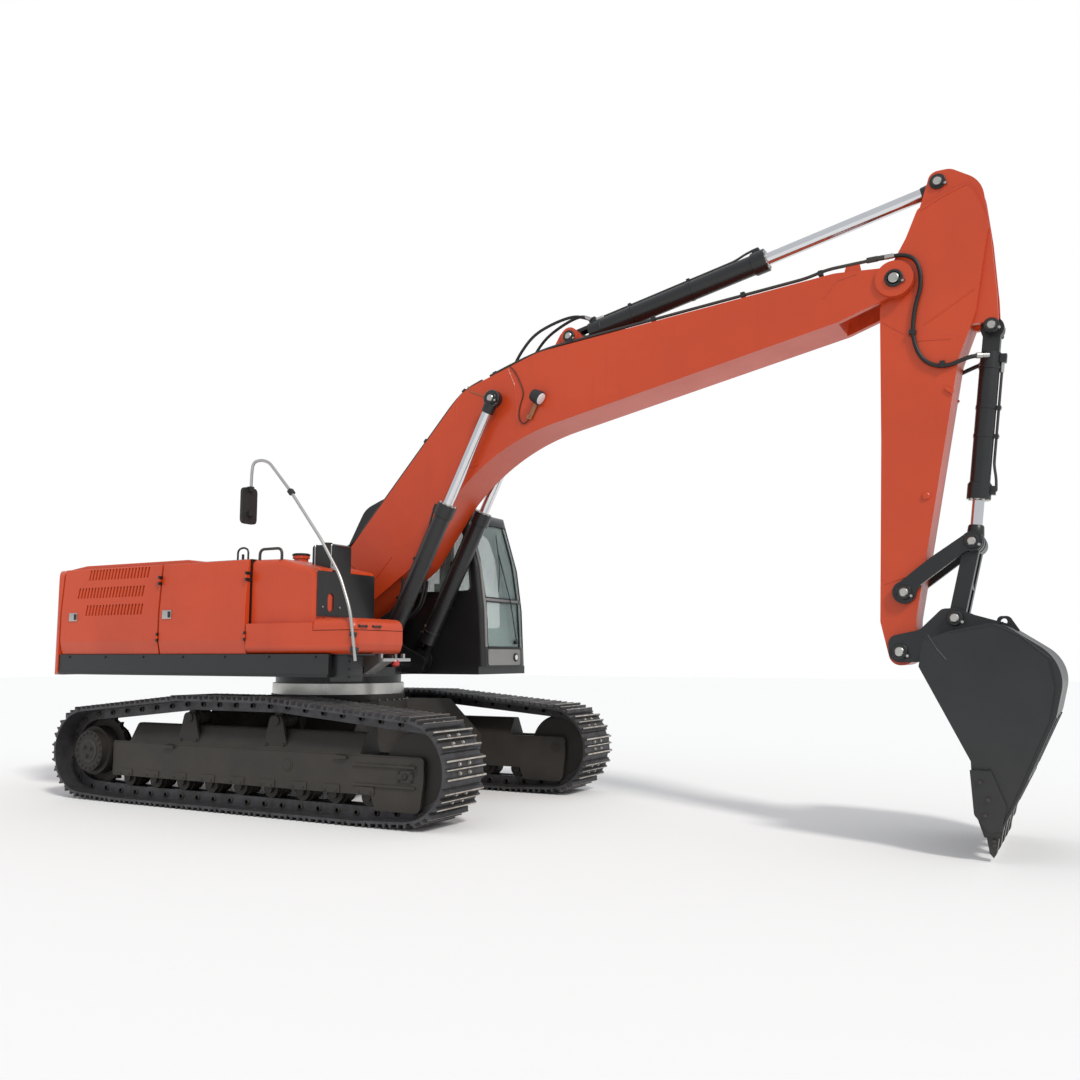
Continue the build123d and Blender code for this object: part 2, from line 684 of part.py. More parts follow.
with BuildPart() as controls:
    for side in (-1, 1):
        mid = 1000 + side * 370
        block(260, 900, mid - 80, mid + 80, 1400, 1960)
        with Locations((820, mid, 2050)):
            Cylinder(18, 220)
        with Locations((820, mid, 2180)):
            Cylinder(30, 110)
        with Locations((1180, 1000 + side * 90, 1640)):
            Cylinder(14, 480)
save(controls, "controls")

# boom
fork_half = 178
boom_rows = [  # x, z, corner radius
    (-10, 2232, 200),
    (1695, 4096, 520),
    (2560, 4372, 900),
    (5400, 4640, 300),
    (5990, 4600, 90),
    (6040, 4430, 90),
    (5420, 4215, 300),
    (2092, 3516, 2200),
    (1584, 2990, 400),
    (1107, 2345, 250),
    (300, 1800, 120),
    (0, 1830, 170),
]
with BuildPart() as boom:
    plate(boom_rows, -boom_half, boom_half)
    bar(*boom_foot_pin, 190, -boom_half, boom_half)
    bar(*boom_arm_pin, 150, -boom_half - 24, boom_half + 24)
    slot_rows = [
        (5350, 4800, 0), (5350, 4560, 0), (5440, 4330, 0), (5380, 4100, 0),
        (6300, 4100, 0), (6300, 4800, 0),
    ]
    plate(slot_rows, -fork_half, fork_half, mode=Mode.SUBTRACT)
    base_rows = [
        (2600, 4330, 0), (3080, 4380, 0), (2930, 4560, 60), (2840, 4620, 90), (2740, 4560, 60),
    ]
    plate(base_rows, 72, 104)
    plate(base_rows, -104, -72)
    bar(*arm_base_pin, 90, 60, 118)
    bar(*arm_base_pin, 90, -118, -60)
    bar(*arm_base_pin, cylinder_pin_r, -128, 128)
    bar(*boom_foot_pin, foot_pin_r + fit_gap, -boom_half - 2, boom_half + 2, mode=Mode.SUBTRACT)
    bar(*boom_arm_pin, tip_pin_r, -boom_half - 40, boom_half + 40, mode=Mode.SUBTRACT)
save(boom, "boom")

with BuildPart() as boom_pins:
    bar(*boom_arm_pin, tip_pin_r, -boom_half - 40, boom_half + 40)
save(boom_pins, "boom_pins")

# arm
arm_half = 170
eye_room = 84
lug_in, lug_out = eye_room, 130
arm_rows = [  # x, z, corner radius: the box beam
    (5930, 1740, 100), (5905, 1390, 90), (5730, 1360, 90), (5655, 1720, 100), (5715, 3180, 0),
    (5745, 4290, 150), (5836, 4627, 200), (5970, 4855, 300), (6070, 5085, 60), (6265, 5165, 120),
    (6470, 5235, 110), (6600, 4880, 260), (6470, 4150, 200), (6330, 3800, 200),
]
lug_rows = [  # x, z, corner radius: the two plates that carry the cylinder pins
    (6060, 5040, 0), (6150, 5310, 30), (6172, 5392, 78), (6330, 5392, 120), (6560, 5240, 240),
    (6606, 4770, 700), (6628, 4300, 0), (6628, 4068, 16), (6428, 4068, 0), (6300, 4500, 0),
    (6250, 5000, 0),
]
with BuildPart() as arm:
    plate(arm_rows, -arm_half, arm_half)
    plate(lug_rows, lug_in, lug_out)
    plate(lug_rows, -lug_out, -lug_in)
    head_pocket = [
        (5950, 5060, 0), (6180, 5080, 0), (6400, 5120, 0), (6700, 5130, 0),
        (6700, 5600, 0), (5950, 5600, 0),
    ]
    plate(head_pocket, -eye_room, eye_room, mode=Mode.SUBTRACT)
    tail_pocket = [
        (6480, 4170, 0), (6460, 3930, 0), (6400, 3800, 0), (6340, 3500, 0),
        (6800, 3400, 0), (6800, 4170, 0),
    ]
    plate(tail_pocket, -eye_room, eye_room, mode=Mode.SUBTRACT)
    bar(*boom_arm_pin, tip_pin_r + fit_gap, -arm_half - 2, arm_half + 2, mode=Mode.SUBTRACT)
    for pin, radius in (
        (arm_head_pin, bucket_pin_r), (bucket_base_pin, cylinder_pin_r),
        (rocker_pin, cylinder_pin_r), (bucket_pin, bucket_pin_r),
    ):
        bar(*pin, radius, -arm_half - 2, arm_half + 2, mode=Mode.SUBTRACT)
save(arm, "arm")

with BuildPart() as arm_pins:
    for side in (-1, 1):
        bar(*arm_head_pin, bucket_pin_r, side * 60, side * (lug_out + 26))
    bar(*bucket_base_pin, cylinder_pin_r, -lug_out - 26, lug_out + 26)
    bar(*rocker_pin, cylinder_pin_r, -arm_half - 70, arm_half + 70)
    bar(*bucket_pin, bucket_pin_r, -arm_half - 78, arm_half + 78)
save(arm_pins, "arm_pins")

# bucket, seen as it hangs: teeth down, mouth towards the tracks
bucket_half = 700
ear_in, ear_out = 186, 236
lifting_eye = (6550, 1712)
tooth_rows = [  # x, z, corner radius
    (6410, 200, 0), (6430, 60, 0), (6455, 30, 0), (6475, 60, 0), (6500, 200, 0),
]
shell_rows = [  # x, z, corner radius
    (6050, 1560, 0), (6230, 1625, 0), (6560, 1695, 200), (6990, 1400, 300), (6900, 1020, 300),
    (6690, 560, 300), (6500, 190, 0), (6420, 190, 0), (6340, 400, 0), (6338, 700, 0), (6010, 1370, 0),
]
with BuildPart() as bucket:
    plate(shell_rows, -bucket_half, bucket_half)
    cavity_rows = [
        (6060, 1480, 0), (6240, 1555, 0), (6540, 1620, 170), (6940, 1380, 270), (6855, 1040, 280),
        (6650, 590, 280), (6470, 210, 0), (6400, 100, 0), (5900, 1000, 0), (5950, 1400, 0),
    ]
    plate(cavity_rows, -bucket_half + 32, bucket_half - 32, mode=Mode.SUBTRACT)
    link_room = [(6120, 1592, 0), (6250, 1592, 0), (6400, 1622, 0), (6400, 1800, 0), (6120, 1800, 0)]
    plate(link_room, -ear_in, ear_in, mode=Mode.SUBTRACT)
    ear_rows = [
        (5722, 1397, 80), (5722, 1600, 70), (5960, 1650, 60), (6130, 1812, 60), (6240, 1815, 70),
        (6330, 1770, 60), (6590, 1690, 0), (6240, 1560, 0), (6010, 1400, 0),
    ]
    for side in (-1, 1):
        plate(ear_rows, side * ear_in, side * ear_out)
        bar(*link_low_pin, 44, side * (ear_in - 8), side * (ear_out + 30))
    bar(*bucket_pin, bucket_pin_r + fit_gap, -ear_out - 5, ear_out + 5, mode=Mode.SUBTRACT)
    eye_rows = [
        (6480, 1660, 0), (6510, 1755, 35), (6590, 1755, 40), (6660, 1640, 0), (6560, 1620, 0),
    ]
    plate(eye_rows, -20, 20)
    bar(*lifting_eye, 24, -30, 30, mode=Mode.SUBTRACT)
    cutter_rows = [
        (6330, 640, 0), (6345, 330, 40), (6440, 210, 30), (6520, 230, 0), (6560, 400, 40), (6470, 640, 0),
    ]
    for side in (-1, 1):
        plate(cutter_rows, side * (bucket_half - 2), side * (bucket_half + 18))
    adapter_rows = [
        (6400, 170, 15), (6512, 170, 15), (6550, 330, 0), (6530, 345, 0), (6500, 190, 0),
        (6420, 190, 0), (6378, 330, 0), (6352, 330, 0),
    ]
    for index in range(5):
        plate(adapter_rows, -664 + index * 300, -536 + index * 300)
    for index in range(5):
        plate(tooth_rows, -650 + index * 300, -550 + index * 300, mode=Mode.SUBTRACT)
save(bucket, "bucket")

with BuildPart() as bucket_teeth:
    for index in range(5):
        y = -600 + index * 300
        plate(tooth_rows, y - 50, y + 50)
save(bucket_teeth, "bucket_teeth")


# cylinders and linkage
def axis_plane(start, end, y):
    """A plane at a pin with its Z axis pointing at the other pin and its X axis along Y."""
    return Plane(
        origin=(start[0], y, start[1]), x_dir=(0, 1, 0),
        z_dir=(end[0] - start[0], 0, end[1] - start[1]),
    )


cylinders = [  # name, base pin, rod pin, y, barrel length, tube radius, rod radius, rod length, eye half width
    ("boom_cylinder_right", boom_base_pin, boom_rod_pin, -boom_cyl_y, 1700, 84, 50, 1705, 36),
    ("boom_cylinder_left", boom_base_pin, boom_rod_pin, boom_cyl_y, 1700, 84, 50, 1705, 36),
    ("arm_cylinder", arm_base_pin, arm_head_pin, 0, 1975, 90, 55, 2200, 52),
    ("bucket_cylinder", bucket_base_pin, link_top_pin, 0, 1368, 76, 45, 1465, 52),
]
for name, base, rod_end, y, tube_length, tube, rod, rod_length, eye_half in cylinders:
    reach = math.dist(base, rod_end)
    with BuildPart(axis_plane(base, rod_end, y)) as barrel:
        with Locations(Location((0, 0, 0), (0, 90, 0))):
            Cylinder(88, 2 * eye_half)
        with Locations((0, 0, 100)):
            Box(2 * eye_half, 130, 200)
        with Locations((0, 0, (tube_length + 190) / 2)):
            Cylinder(tube, tube_length - 190)
        with Locations((0, 0, tube_length - 60)):
            Cylinder(tube + 14, 120)
        with Locations((0, 0, (tube_length - 10) / 2)):
            Cylinder(rod + rod_gap, tube_length - 220, mode=Mode.SUBTRACT)
        with Locations((0, 0, tube_length - 60)):
            Cylinder(rod + fit_gap, 140, mode=Mode.SUBTRACT)
        with Locations(Location((0, 0, 0), (0, 90, 0))):
            Cylinder(cylinder_pin_r + fit_gap, 2 * eye_half + 10, mode=Mode.SUBTRACT)
    save(barrel, name + "_barrel")
    with BuildPart(axis_plane(base, rod_end, y)) as rod_part:
        with Locations((0, 0, reach - rod_length / 2)):
            Cylinder(rod, rod_length)
        with Locations(Location((0, 0, reach), (0, 90, 0))):
            Cylinder(84, 2 * eye_half)
            Cylinder(40, 2 * eye_half + 10)
    save(rod_part, name + "_rod")

with BuildPart() as rockers:
    span = math.dist(rocker_pin, link_top_pin)
    ux, uz = (link_top_pin[0] - rocker_pin[0]) / span, (link_top_pin[1] - rocker_pin[1]) / span
    profile = [  # share of the way to the upper pin, offset to the upper side, corner radius
        (0, 84, 0), (0.5, 92, 300), (1, 76, 0), (1, -74, 0), (0.86, -30, 60), (0.2, -30, 60), (0, -84, 0),
    ]
    rocker_rows = [
        (rocker_pin[0] + share * span * ux - rise * uz, rocker_pin[1] + share * span * uz + rise * ux, radius)
        for share, rise, radius in profile
    ]
    for side in (-1, 1):
        y_in = side * (arm_half + run_gap)
        y_out = side * (arm_half + 50)
        plate(rocker_rows, y_in, y_out)
        bar(*rocker_pin, 90, y_in, y_out)
        bar(*link_top_pin, 78, y_in, y_out)
        bar(*rocker_pin, cylinder_pin_r + fit_gap, y_in - side * 10, y_out + side * 10, mode=Mode.SUBTRACT)
    bar(*link_top_pin, 40, -arm_half - 70, -62)
    bar(*link_top_pin, 40, 62, arm_half + 70)
save(rockers, "rockers")

with BuildPart() as bucket_link:
    link_rows = [
        (link_top_pin[0] - 60, link_top_pin[1], 0), (link_top_pin[0] + 60, link_top_pin[1], 0),
        (link_low_pin[0] + 60, link_low_pin[1], 0), (link_low_pin[0] - 60, link_low_pin[1], 0),
    ]
    for side in (-1, 1):
        plate(link_rows, side * 70, side * 160)
        bar(*link_top_pin, 82, side * 70, side * 164)
        bar(*link_low_pin, 74, side * 70, side * 164)
        bar(*link_top_pin, 40 + fit_gap, side * 60, side * 170, mode=Mode.SUBTRACT)
    block(6240, 6340, -72, 72, 1960, 2080)
save(bucket_link, "bucket_link")
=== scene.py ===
# %% [markdown]
# # A crawler excavator
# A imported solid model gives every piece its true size, place and joint. This
# lesson loads it, finishes it, and adds what a solid model leaves out: shoe
# bolts, pipes, hoses, weld beads, window rubbers, a mirror, lamps and handles.
# All lengths are in metres. X points forward along the boom, Y to the machine's
# left and Z up from the ground.

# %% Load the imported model
import math

import bmesh
import bpy
import numpy as np
from mathutils import Matrix, Vector


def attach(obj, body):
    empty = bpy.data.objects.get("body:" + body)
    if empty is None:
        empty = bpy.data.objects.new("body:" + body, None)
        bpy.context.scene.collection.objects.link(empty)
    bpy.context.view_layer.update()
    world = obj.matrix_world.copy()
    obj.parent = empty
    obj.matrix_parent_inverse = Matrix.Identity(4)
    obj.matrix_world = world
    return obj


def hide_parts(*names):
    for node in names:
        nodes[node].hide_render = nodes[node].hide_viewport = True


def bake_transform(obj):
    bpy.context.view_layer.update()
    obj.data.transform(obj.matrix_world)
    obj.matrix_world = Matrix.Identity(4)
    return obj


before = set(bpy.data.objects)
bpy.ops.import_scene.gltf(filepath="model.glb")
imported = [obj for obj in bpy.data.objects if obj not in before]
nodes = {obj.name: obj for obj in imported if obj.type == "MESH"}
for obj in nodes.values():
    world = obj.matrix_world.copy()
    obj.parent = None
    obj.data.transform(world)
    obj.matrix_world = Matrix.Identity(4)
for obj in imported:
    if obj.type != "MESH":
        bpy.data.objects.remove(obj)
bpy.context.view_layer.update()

# %% [markdown]
# The camera stands low in front of the machine's right side and looks slightly
# up, so the boom rises over the horizon and the underside of the arm shows. Its
# place comes from fitting known lengths of such a machine to the picture.

# %% Camera
sensor_width, picture_width, focal_pixels = 36, 1080, 1025.07
camera_lift, camera_turn = 6.49, 28.65  # degrees over the horizon, and about Z
camera_data = bpy.data.cameras.new("camera")
camera_data.sensor_width = sensor_width
camera_data.lens = sensor_width * focal_pixels / picture_width
camera_data.clip_end = 200
camera = bpy.data.objects.new("camera", camera_data)
bpy.context.collection.objects.link(camera)
camera.location = (7.2105, -8.7031, 1.4424)
camera.rotation_euler = (math.radians(90 + camera_lift), 0, math.radians(camera_turn))
bpy.context.scene.camera = camera
bpy.context.scene.view_settings.view_transform = "Standard"
print("camera at", tuple(camera.location), "lens", round(camera_data.lens, 2), "mm")

# %% [markdown]
# Paint on a machine that has worked is never one flat colour. It fades in slow
# patches, gathers dust on faces that look up, and its gloss wanders. Image
# textures could show that, but they need unwrapping, so each finish is a
# Principled shader fed by noise in the object's own coordinates: it has detail
# at any distance and stays put when a piece moves. The object's own upward
# direction carries the film on top faces, so a door that swings keeps its own.


# %% Finish helper
def finish(name, colour, roughness, metallic=0.0, coat=0.0, stain=None, stain_amount=0.35,
           stain_scale=3.0, grain=60.0, grain_depth=0.15, rough_spread=0.12, dust=0.0,
           dust_colour=(0.23, 0.19, 0.14), streaks=0.0, film=0.0):
    """A painted, cast or rolled surface. Stain: slow patches. Streaks: rain runs. Dust: low down.
    Film: dust on faces that look up."""
    material = bpy.data.materials.new(name)
    material.use_nodes = True
    tree = material.node_tree
    shader = tree.nodes["Principled BSDF"]
    shader.inputs["Metallic"].default_value = metallic
    shader.inputs["Coat Weight"].default_value = coat
    shader.inputs["Coat Roughness"].default_value = 0.12
    place = tree.nodes.new("ShaderNodeTexCoord")

    def noise(scale, detail, vector):
        node = tree.nodes.new("ShaderNodeTexNoise")
        node.inputs["Scale"].default_value = scale
        node.inputs["Detail"].default_value = detail
        node.inputs["Roughness"].default_value = 0.62
        tree.links.new(vector, node.inputs["Vector"])
        return node.outputs["Fac"]

    def spread(value, low, high, most):
        node = tree.nodes.new("ShaderNodeMapRange")
        node.inputs["From Min"].default_value = low
        node.inputs["From Max"].default_value = high
        node.inputs["To Max"].default_value = most
        tree.links.new(value, node.inputs["Value"])
        return node.outputs["Result"]

    def times(first, second):
        node = tree.nodes.new("ShaderNodeMath")
        node.operation = "MULTIPLY"
        tree.links.new(first, node.inputs[0])
        tree.links.new(second, node.inputs[1])
        return node.outputs["Value"]

    def over(under, top_colour, amount):
        node = tree.nodes.new("ShaderNodeMix")
        node.data_type = "RGBA"
        node.inputs["B"].default_value = (*top_colour, 1)
        if isinstance(under, tuple):
            node.inputs["A"].default_value = (*under, 1)
        else:
            tree.links.new(under, node.inputs["A"])
        tree.links.new(amount, node.inputs["Factor"])
        return node.outputs["Result"]

    slow = noise(stain_scale, 6, place.outputs["Object"])
    fine = noise(grain, 4, place.outputs["Object"])
    result = over(colour, stain or tuple(c * 0.72 for c in colour),
                  spread(slow, 0.38, 0.72, stain_amount))
    if streaks:
        stretch = tree.nodes.new("ShaderNodeMapping")
        stretch.inputs["Scale"].default_value = (9, 9, 0.7)
        tree.links.new(place.outputs["Object"], stretch.inputs["Vector"])
        runs = noise(1.0, 5, stretch.outputs["Vector"])
        result = over(result, tuple(c * 0.5 for c in colour), spread(runs, 0.55, 0.8, streaks))
    if dust:
        split = tree.nodes.new("ShaderNodeSeparateXYZ")
        tree.links.new(place.outputs["Object"], split.inputs["Vector"])
        low_down = spread(split.outputs["Z"], 1.1, 0.0, dust)
        result = over(result, dust_colour, times(low_down, slow))
    if film:
        facing = tree.nodes.new("ShaderNodeSeparateXYZ")
        tree.links.new(place.outputs["Normal"], facing.inputs["Vector"])
        on_top = spread(facing.outputs["Z"], 0.55, 1.0, film)
        result = over(result, dust_colour, times(on_top, slow))
    tree.links.new(result, shader.inputs["Base Color"])

    rough = tree.nodes.new("ShaderNodeMapRange")
    rough.inputs["To Min"].default_value = max(0.03, roughness - rough_spread)
    rough.inputs["To Max"].default_value = roughness + rough_spread
    tree.links.new(slow, rough.inputs["Value"])
    tree.links.new(rough.outputs["Result"], shader.inputs["Roughness"])
    bump = tree.nodes.new("ShaderNodeBump")
    bump.inputs["Strength"].default_value = grain_depth
    bump.inputs["Distance"].default_value = 0.002
    tree.links.new(fine, bump.inputs["Height"])
    tree.links.new(bump.outputs["Normal"], shader.inputs["Normal"])
    return material


print("the finish helper is ready")

# %% [markdown]
# The machine wears few finishes. Its panels, boom and arm are orange, the frame,
# cab and cylinders black, the bucket a duller black with scratches, and the
# track frames a brown-grey that dirt has dulled. Cast parts are rough and a
# little metallic; pins, bolts and fittings are steel in three shades. Each is one
# call with its own base, stain and gloss, because a table of plain colours would
# look like toys: what tells steel from paint is how much the gloss wanders.

# %% Paints and metals
orange = finish("orange_paint", (0.55, 0.054, 0.009), 0.38, coat=0.12, stain=(0.42, 0.038, 0.007),
                stain_amount=0.55, stain_scale=1.1, grain=90, grain_depth=0.05, streaks=0.16, film=0.25,
                dust_colour=(0.40, 0.19, 0.11))
black = finish("black_paint", (0.0075, 0.0078, 0.009), 0.38, coat=0.12, stain=(0.016, 0.0155, 0.015),
               stain_scale=2.2, grain=120, grain_depth=0.08, film=0.12)
tool_black = finish("bucket_paint", (0.0085, 0.0095, 0.011), 0.44, coat=0.1, stain=(0.022, 0.023, 0.025),
                    stain_scale=1.6, stain_amount=0.5, grain=80, grain_depth=0.2, streaks=0.2, dust=0.10)
frame_grey = finish("track_frame_paint", (0.017, 0.0145, 0.013), 0.60, stain=(0.030, 0.025, 0.021),
                    stain_amount=0.6, grain=70, grain_depth=0.25, dust=0.16, film=0.35)
cast = finish("cast_iron", (0.018, 0.016, 0.015), 0.60, metallic=0.3, stain=(0.036, 0.029, 0.024),
              grain=160, grain_depth=0.5, dust=0.16)
shoe_steel = finish("shoe_steel", (0.075, 0.074, 0.080), 0.46, metallic=0.55, stain=(0.035, 0.031, 0.029),
                    stain_amount=0.8, stain_scale=9, grain=140, grain_depth=0.4)
worn_steel = finish("worn_shoe_edges", (0.62, 0.58, 0.52), 0.38, metallic=0.7, stain=(0.26, 0.21, 0.17),
                    stain_amount=0.9, stain_scale=14, grain=200, grain_depth=0.3)
bright_steel = finish("bright_steel", (0.56, 0.55, 0.52), 0.3, metallic=1.0, stain=(0.36, 0.34, 0.3),
                      grain=200, grain_depth=0.06)
dark_steel = finish("dark_steel", (0.055, 0.052, 0.050), 0.42, metallic=0.6, stain=(0.10, 0.085, 0.07),
                    grain=200, grain_depth=0.12)
chrome = finish("chrome_rod", (0.72, 0.72, 0.74), 0.12, metallic=1.0, stain=(0.6, 0.6, 0.62),
                grain=260, grain_depth=0.02, rough_spread=0.05)
copper = finish("copper_fitting", (0.42, 0.20, 0.10), 0.38, metallic=0.85, stain=(0.22, 0.12, 0.07),
                grain=160, grain_depth=0.1)
plastic = finish("trim_plastic", (0.014, 0.014, 0.015), 0.55, grain=300, grain_depth=0.3)
fabric = finish("seat_fabric", (0.035, 0.036, 0.04), 0.9, stain=(0.06, 0.06, 0.065), grain=420,
                grain_depth=0.8)
rubber = finish("hose_rubber", (0.008, 0.008, 0.009), 0.5, grain=220, grain_depth=0.2)
cab_grey = finish("cab_grey_paint", (0.20, 0.195, 0.185), 0.4, coat=0.2, grain=120, grain_depth=0.05)
silver = finish("silver_tube", (0.50, 0.50, 0.49), 0.34, metallic=0.9, stain=(0.30, 0.29, 0.27),
                grain=150, grain_depth=0.08)
lamp_red = finish("lamp_red", (0.45, 0.02, 0.015), 0.2, coat=0.6, grain=40, grain_depth=0.05)
lamp_clear = finish("lamp_lens", (0.75, 0.76, 0.78), 0.12, coat=0.8, grain=40, grain_depth=0.05)
print("finishes:", len(bpy.data.materials))

# %% [markdown]
# Cab glass is a thin tinted pane. A solid that bends light would look dark and
# is slow, so this is a plain glossy surface that lets most light pass: the
# frame and the seat show through it, and it still takes a reflection.

# %% Glass
glass = bpy.data.materials.new("cab_glass")
glass.use_nodes = True
glass_shader = glass.node_tree.nodes["Principled BSDF"]
glass_shader.inputs["Base Color"].default_value = (0.42, 0.55, 0.52, 1)
glass_shader.inputs["Roughness"].default_value = 0.04
glass_shader.inputs["Alpha"].default_value = 0.34
glass_shader.inputs["Coat Weight"].default_value = 0.5
print("glass alpha", glass_shader.inputs["Alpha"].default_value)

# %% [markdown]
# The solid pieces already have the right form, so each keeps its mesh and only
# gets the finish of the real piece.

# %% Paint the solid model
by_finish = {
    orange: ["boom", "arm", "counterweight", "engine_hood", "door_right_rear", "door_right_front",
             "door_left_rear", "door_left_front", "fuel_tank", "tool_box", "tool_box_lid"],
    black: ["body_frame", "revolving_frame", "side_skirts", "cab_shell", "cab_door", "rockers",
            "bucket_link", "tank_guard"],
    tool_black: ["bucket", "bucket_teeth"],
    frame_grey: ["side_frames", "carbody"],
    cast: ["sprockets", "idlers", "lower_rollers", "carrier_rollers", "engine"],
    dark_steel: ["boom_pins", "arm_pins"],
    bright_steel: ["slewing_ring"],
    shoe_steel: ["track_left", "track_right"],
    plastic: ["controls"],
    fabric: ["seat"],
    glass: ["cab_glass", "door_glass"],
    chrome: [node for node in nodes if node.endswith("_rod")],
}
by_finish[black] += [node for node in nodes if node.endswith("_barrel")]
for material, names in by_finish.items():
    for name in names:
        piece = nodes[name]
        if not piece.material_slots:
            piece.data.materials.append(material)
        for held in piece.material_slots:
            held.material = material
bare = [name for name in nodes if not any(name in names for names in by_finish.values())]
print("nodes without a finish:", bare)

# %% [markdown]
# Much of the trim on a machine is turned on a lathe: pins, caps, collars, lamps
# and bolt heads. One helper sweeps a row of distances and radii round an axis,
# and the others call it. Each adds to one mesh, so a piece with forty bolts is
# still one object. The rows step in at the ends, because a real edge is broken
# and always catches some light.


# %% Helper: turned forms
def turned(mesh, start, axis, rows, sides=24):
    """A turned form. Rows: distance along the axis, radius."""
    start, axis = Vector(start), Vector(axis).normalized()
    across = axis.orthogonal().normalized()
    over = axis.cross(across)
    rings = []
    for along, radius in rows:
        ring = []
        for step in range(sides):
            angle = 2 * math.pi * step / sides
            spot = start + axis * along + (across * math.cos(angle) + over * math.sin(angle)) * radius
            ring.append(mesh.verts.new(spot))
        rings.append(ring)
    for low, high in zip(rings, rings[1:]):
        for step in range(sides):
            after = (step + 1) % sides
            mesh.faces.new((low[step], low[after], high[after], high[step]))
    mesh.faces.new(list(reversed(rings[0])))
    mesh.faces.new(rings[-1])


def rod_form(mesh, start, end, radius, edge=0.002, sides=20):
    """A straight round bar with broken edges."""
    start, end = Vector(start), Vector(end)
    length = (end - start).length
    turned(mesh, start, end - start,
           [(0, radius - edge), (edge, radius), (length - edge, radius), (length, radius - edge)], sides)


def bolt(mesh, spot, out, width=0.03):
    """A hexagon head on its washer, facing out."""
    tall = width * 0.45
    turned(mesh, spot, out, [(-0.002, width * 0.62), (width * 0.1, width * 0.62)], 16)
    turned(mesh, Vector(spot) + Vector(out).normalized() * width * 0.09, out,
           [(0, width * 0.5), (tall * 0.8, width * 0.5), (tall, width * 0.43)], 6)


print("turned forms are ready")


# %% [markdown]
# Lugs, pads, latches and brackets are cut from bar and plate, with edges that a
# file has broken. One block helper makes them: a cube that is sized, turned and
# set down by one matrix, and then bevelled. A bevel modifier would do the same
# for one object, but here many blocks share a mesh and each has its own edge.


# %% Helper: blocks
def slab(mesh, centre, size, turn=(0, 0, 0), edge=0.004):
    """A block with broken edges. Turn: degrees about X, Y and Z."""
    angles = [math.radians(angle) for angle in turn]
    spin = (Matrix.Rotation(angles[2], 4, "Z") @ Matrix.Rotation(angles[1], 4, "Y")
            @ Matrix.Rotation(angles[0], 4, "X"))
    place = Matrix.Translation(centre) @ spin @ Matrix.Diagonal((*size, 1))
    made = bmesh.ops.create_cube(mesh, size=1, matrix=place)
    rims = list({rim for corner in made["verts"] for rim in corner.link_edges})
    bmesh.ops.bevel(mesh, geom=rims, offset=min(edge, min(size) * 0.45), segments=2, affect="EDGES",
                    profile=0.7)


print("blocks are ready")

# %% [markdown]
# A finished mesh becomes an object, takes its finish, and is told which body of
# the machine carries it. Sharp edges are kept where two faces meet at more than
# about 35 degrees, and everything flatter is shaded smooth.


# %% Helper: hand a mesh to a body
def hand_over(name, mesh, material, body):
    """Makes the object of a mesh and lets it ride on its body."""
    bmesh.ops.recalc_face_normals(mesh, faces=mesh.faces)
    data = bpy.data.meshes.new(name)
    mesh.to_mesh(data)
    mesh.free()
    data.shade_smooth()
    data.set_sharp_from_angle(angle=math.radians(35))
    data.materials.append(material)
    piece = bpy.data.objects.new(name, data)
    bpy.context.collection.objects.link(piece)
    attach(piece, body)
    print(name, "rides on", body, "with", len(data.polygons), "faces")
    return piece


# %% [markdown]
# ## Undercarriage
# Each track is one fixed loop of 48 plates. Rubbing on the ground keeps the
# tips of the three ribs on each plate bright while the plates between them stay
# dark. The tips are found on the loop's own mesh, by how far they stand off the
# line through the link pins, so the bright strips lie exactly on the ribs.

# %% Find the ribs of the tracks
loop_wheels = np.array([  # x, z, radius of the pin line round it
    (-2.015, 0.48, 0.3665), (2.015, 0.48, 0.3665), (-1.52, 0.23, 0.14),
    (1.52, 0.23, 0.14), (-0.669, 0.855, 0.125), (0.448, 0.855, 0.125),
])
rib_height = 0.0866  # from the pin line to the flat tip of a rib
loop_centre_z = 0.52
aim_angles = np.linspace(0, 2 * math.pi, 1440, endpoint=False)
aims = np.stack((np.cos(aim_angles), np.sin(aim_angles)), 1)
aim_reach = (loop_wheels[:, :2] @ aims.T + loop_wheels[:, 2:]).max(0)


def height_over_pins(spots):
    """How far points in the XZ plane stand off the pin line, for points outside it."""
    return (spots @ aims.T - aim_reach).max(1)


def find_ribs(node):
    """The tip of each rib on a track: its middle and the direction that it faces."""
    data = nodes[node].data
    corners = np.array([tuple(corner.co) for corner in data.vertices])
    height = height_over_pins(corners[:, [0, 2]])
    found = {}
    for face in data.polygons:
        ids = list(face.vertices)
        if abs(face.normal.y) > 0.1 or height[ids].min() < rib_height:
            continue
        ends = {(round(corners[i][0], 5), round(corners[i][2], 5)) for i in ids}
        if len(ends) != 2:
            continue
        ends = sorted(ends)
        middle = Vector(((ends[0][0] + ends[1][0]) / 2, 0, (ends[0][1] + ends[1][1]) / 2))
        out = Vector((face.normal.x, 0, face.normal.z)).normalized()
        found[tuple(round(c, 4) for c in middle)] = (middle, out, ends)
    return sorted(found.values(), key=lambda tip: math.atan2(tip[0].z - loop_centre_z, tip[0].x))


ribs = {side: find_ribs(node) for side, node in ((-1, "track_right"), (1, "track_left"))}
print("ribs found:", {side: len(tips) for side, tips in ribs.items()})

# %% [markdown]
# A track plate is bolted to its link by four bolts between the ribs, and the
# links turn on pins whose ends show at the side. Both are placed from the ribs
# that were just found: two ribs of one plate stand at one of two known gaps and
# face the same way, which tells them from the ribs of two neighbours. The
# bright tips are flat strips laid a hair over the rib, since a worn edge has no
# thickness of its own. Those that touch the ground are left out.

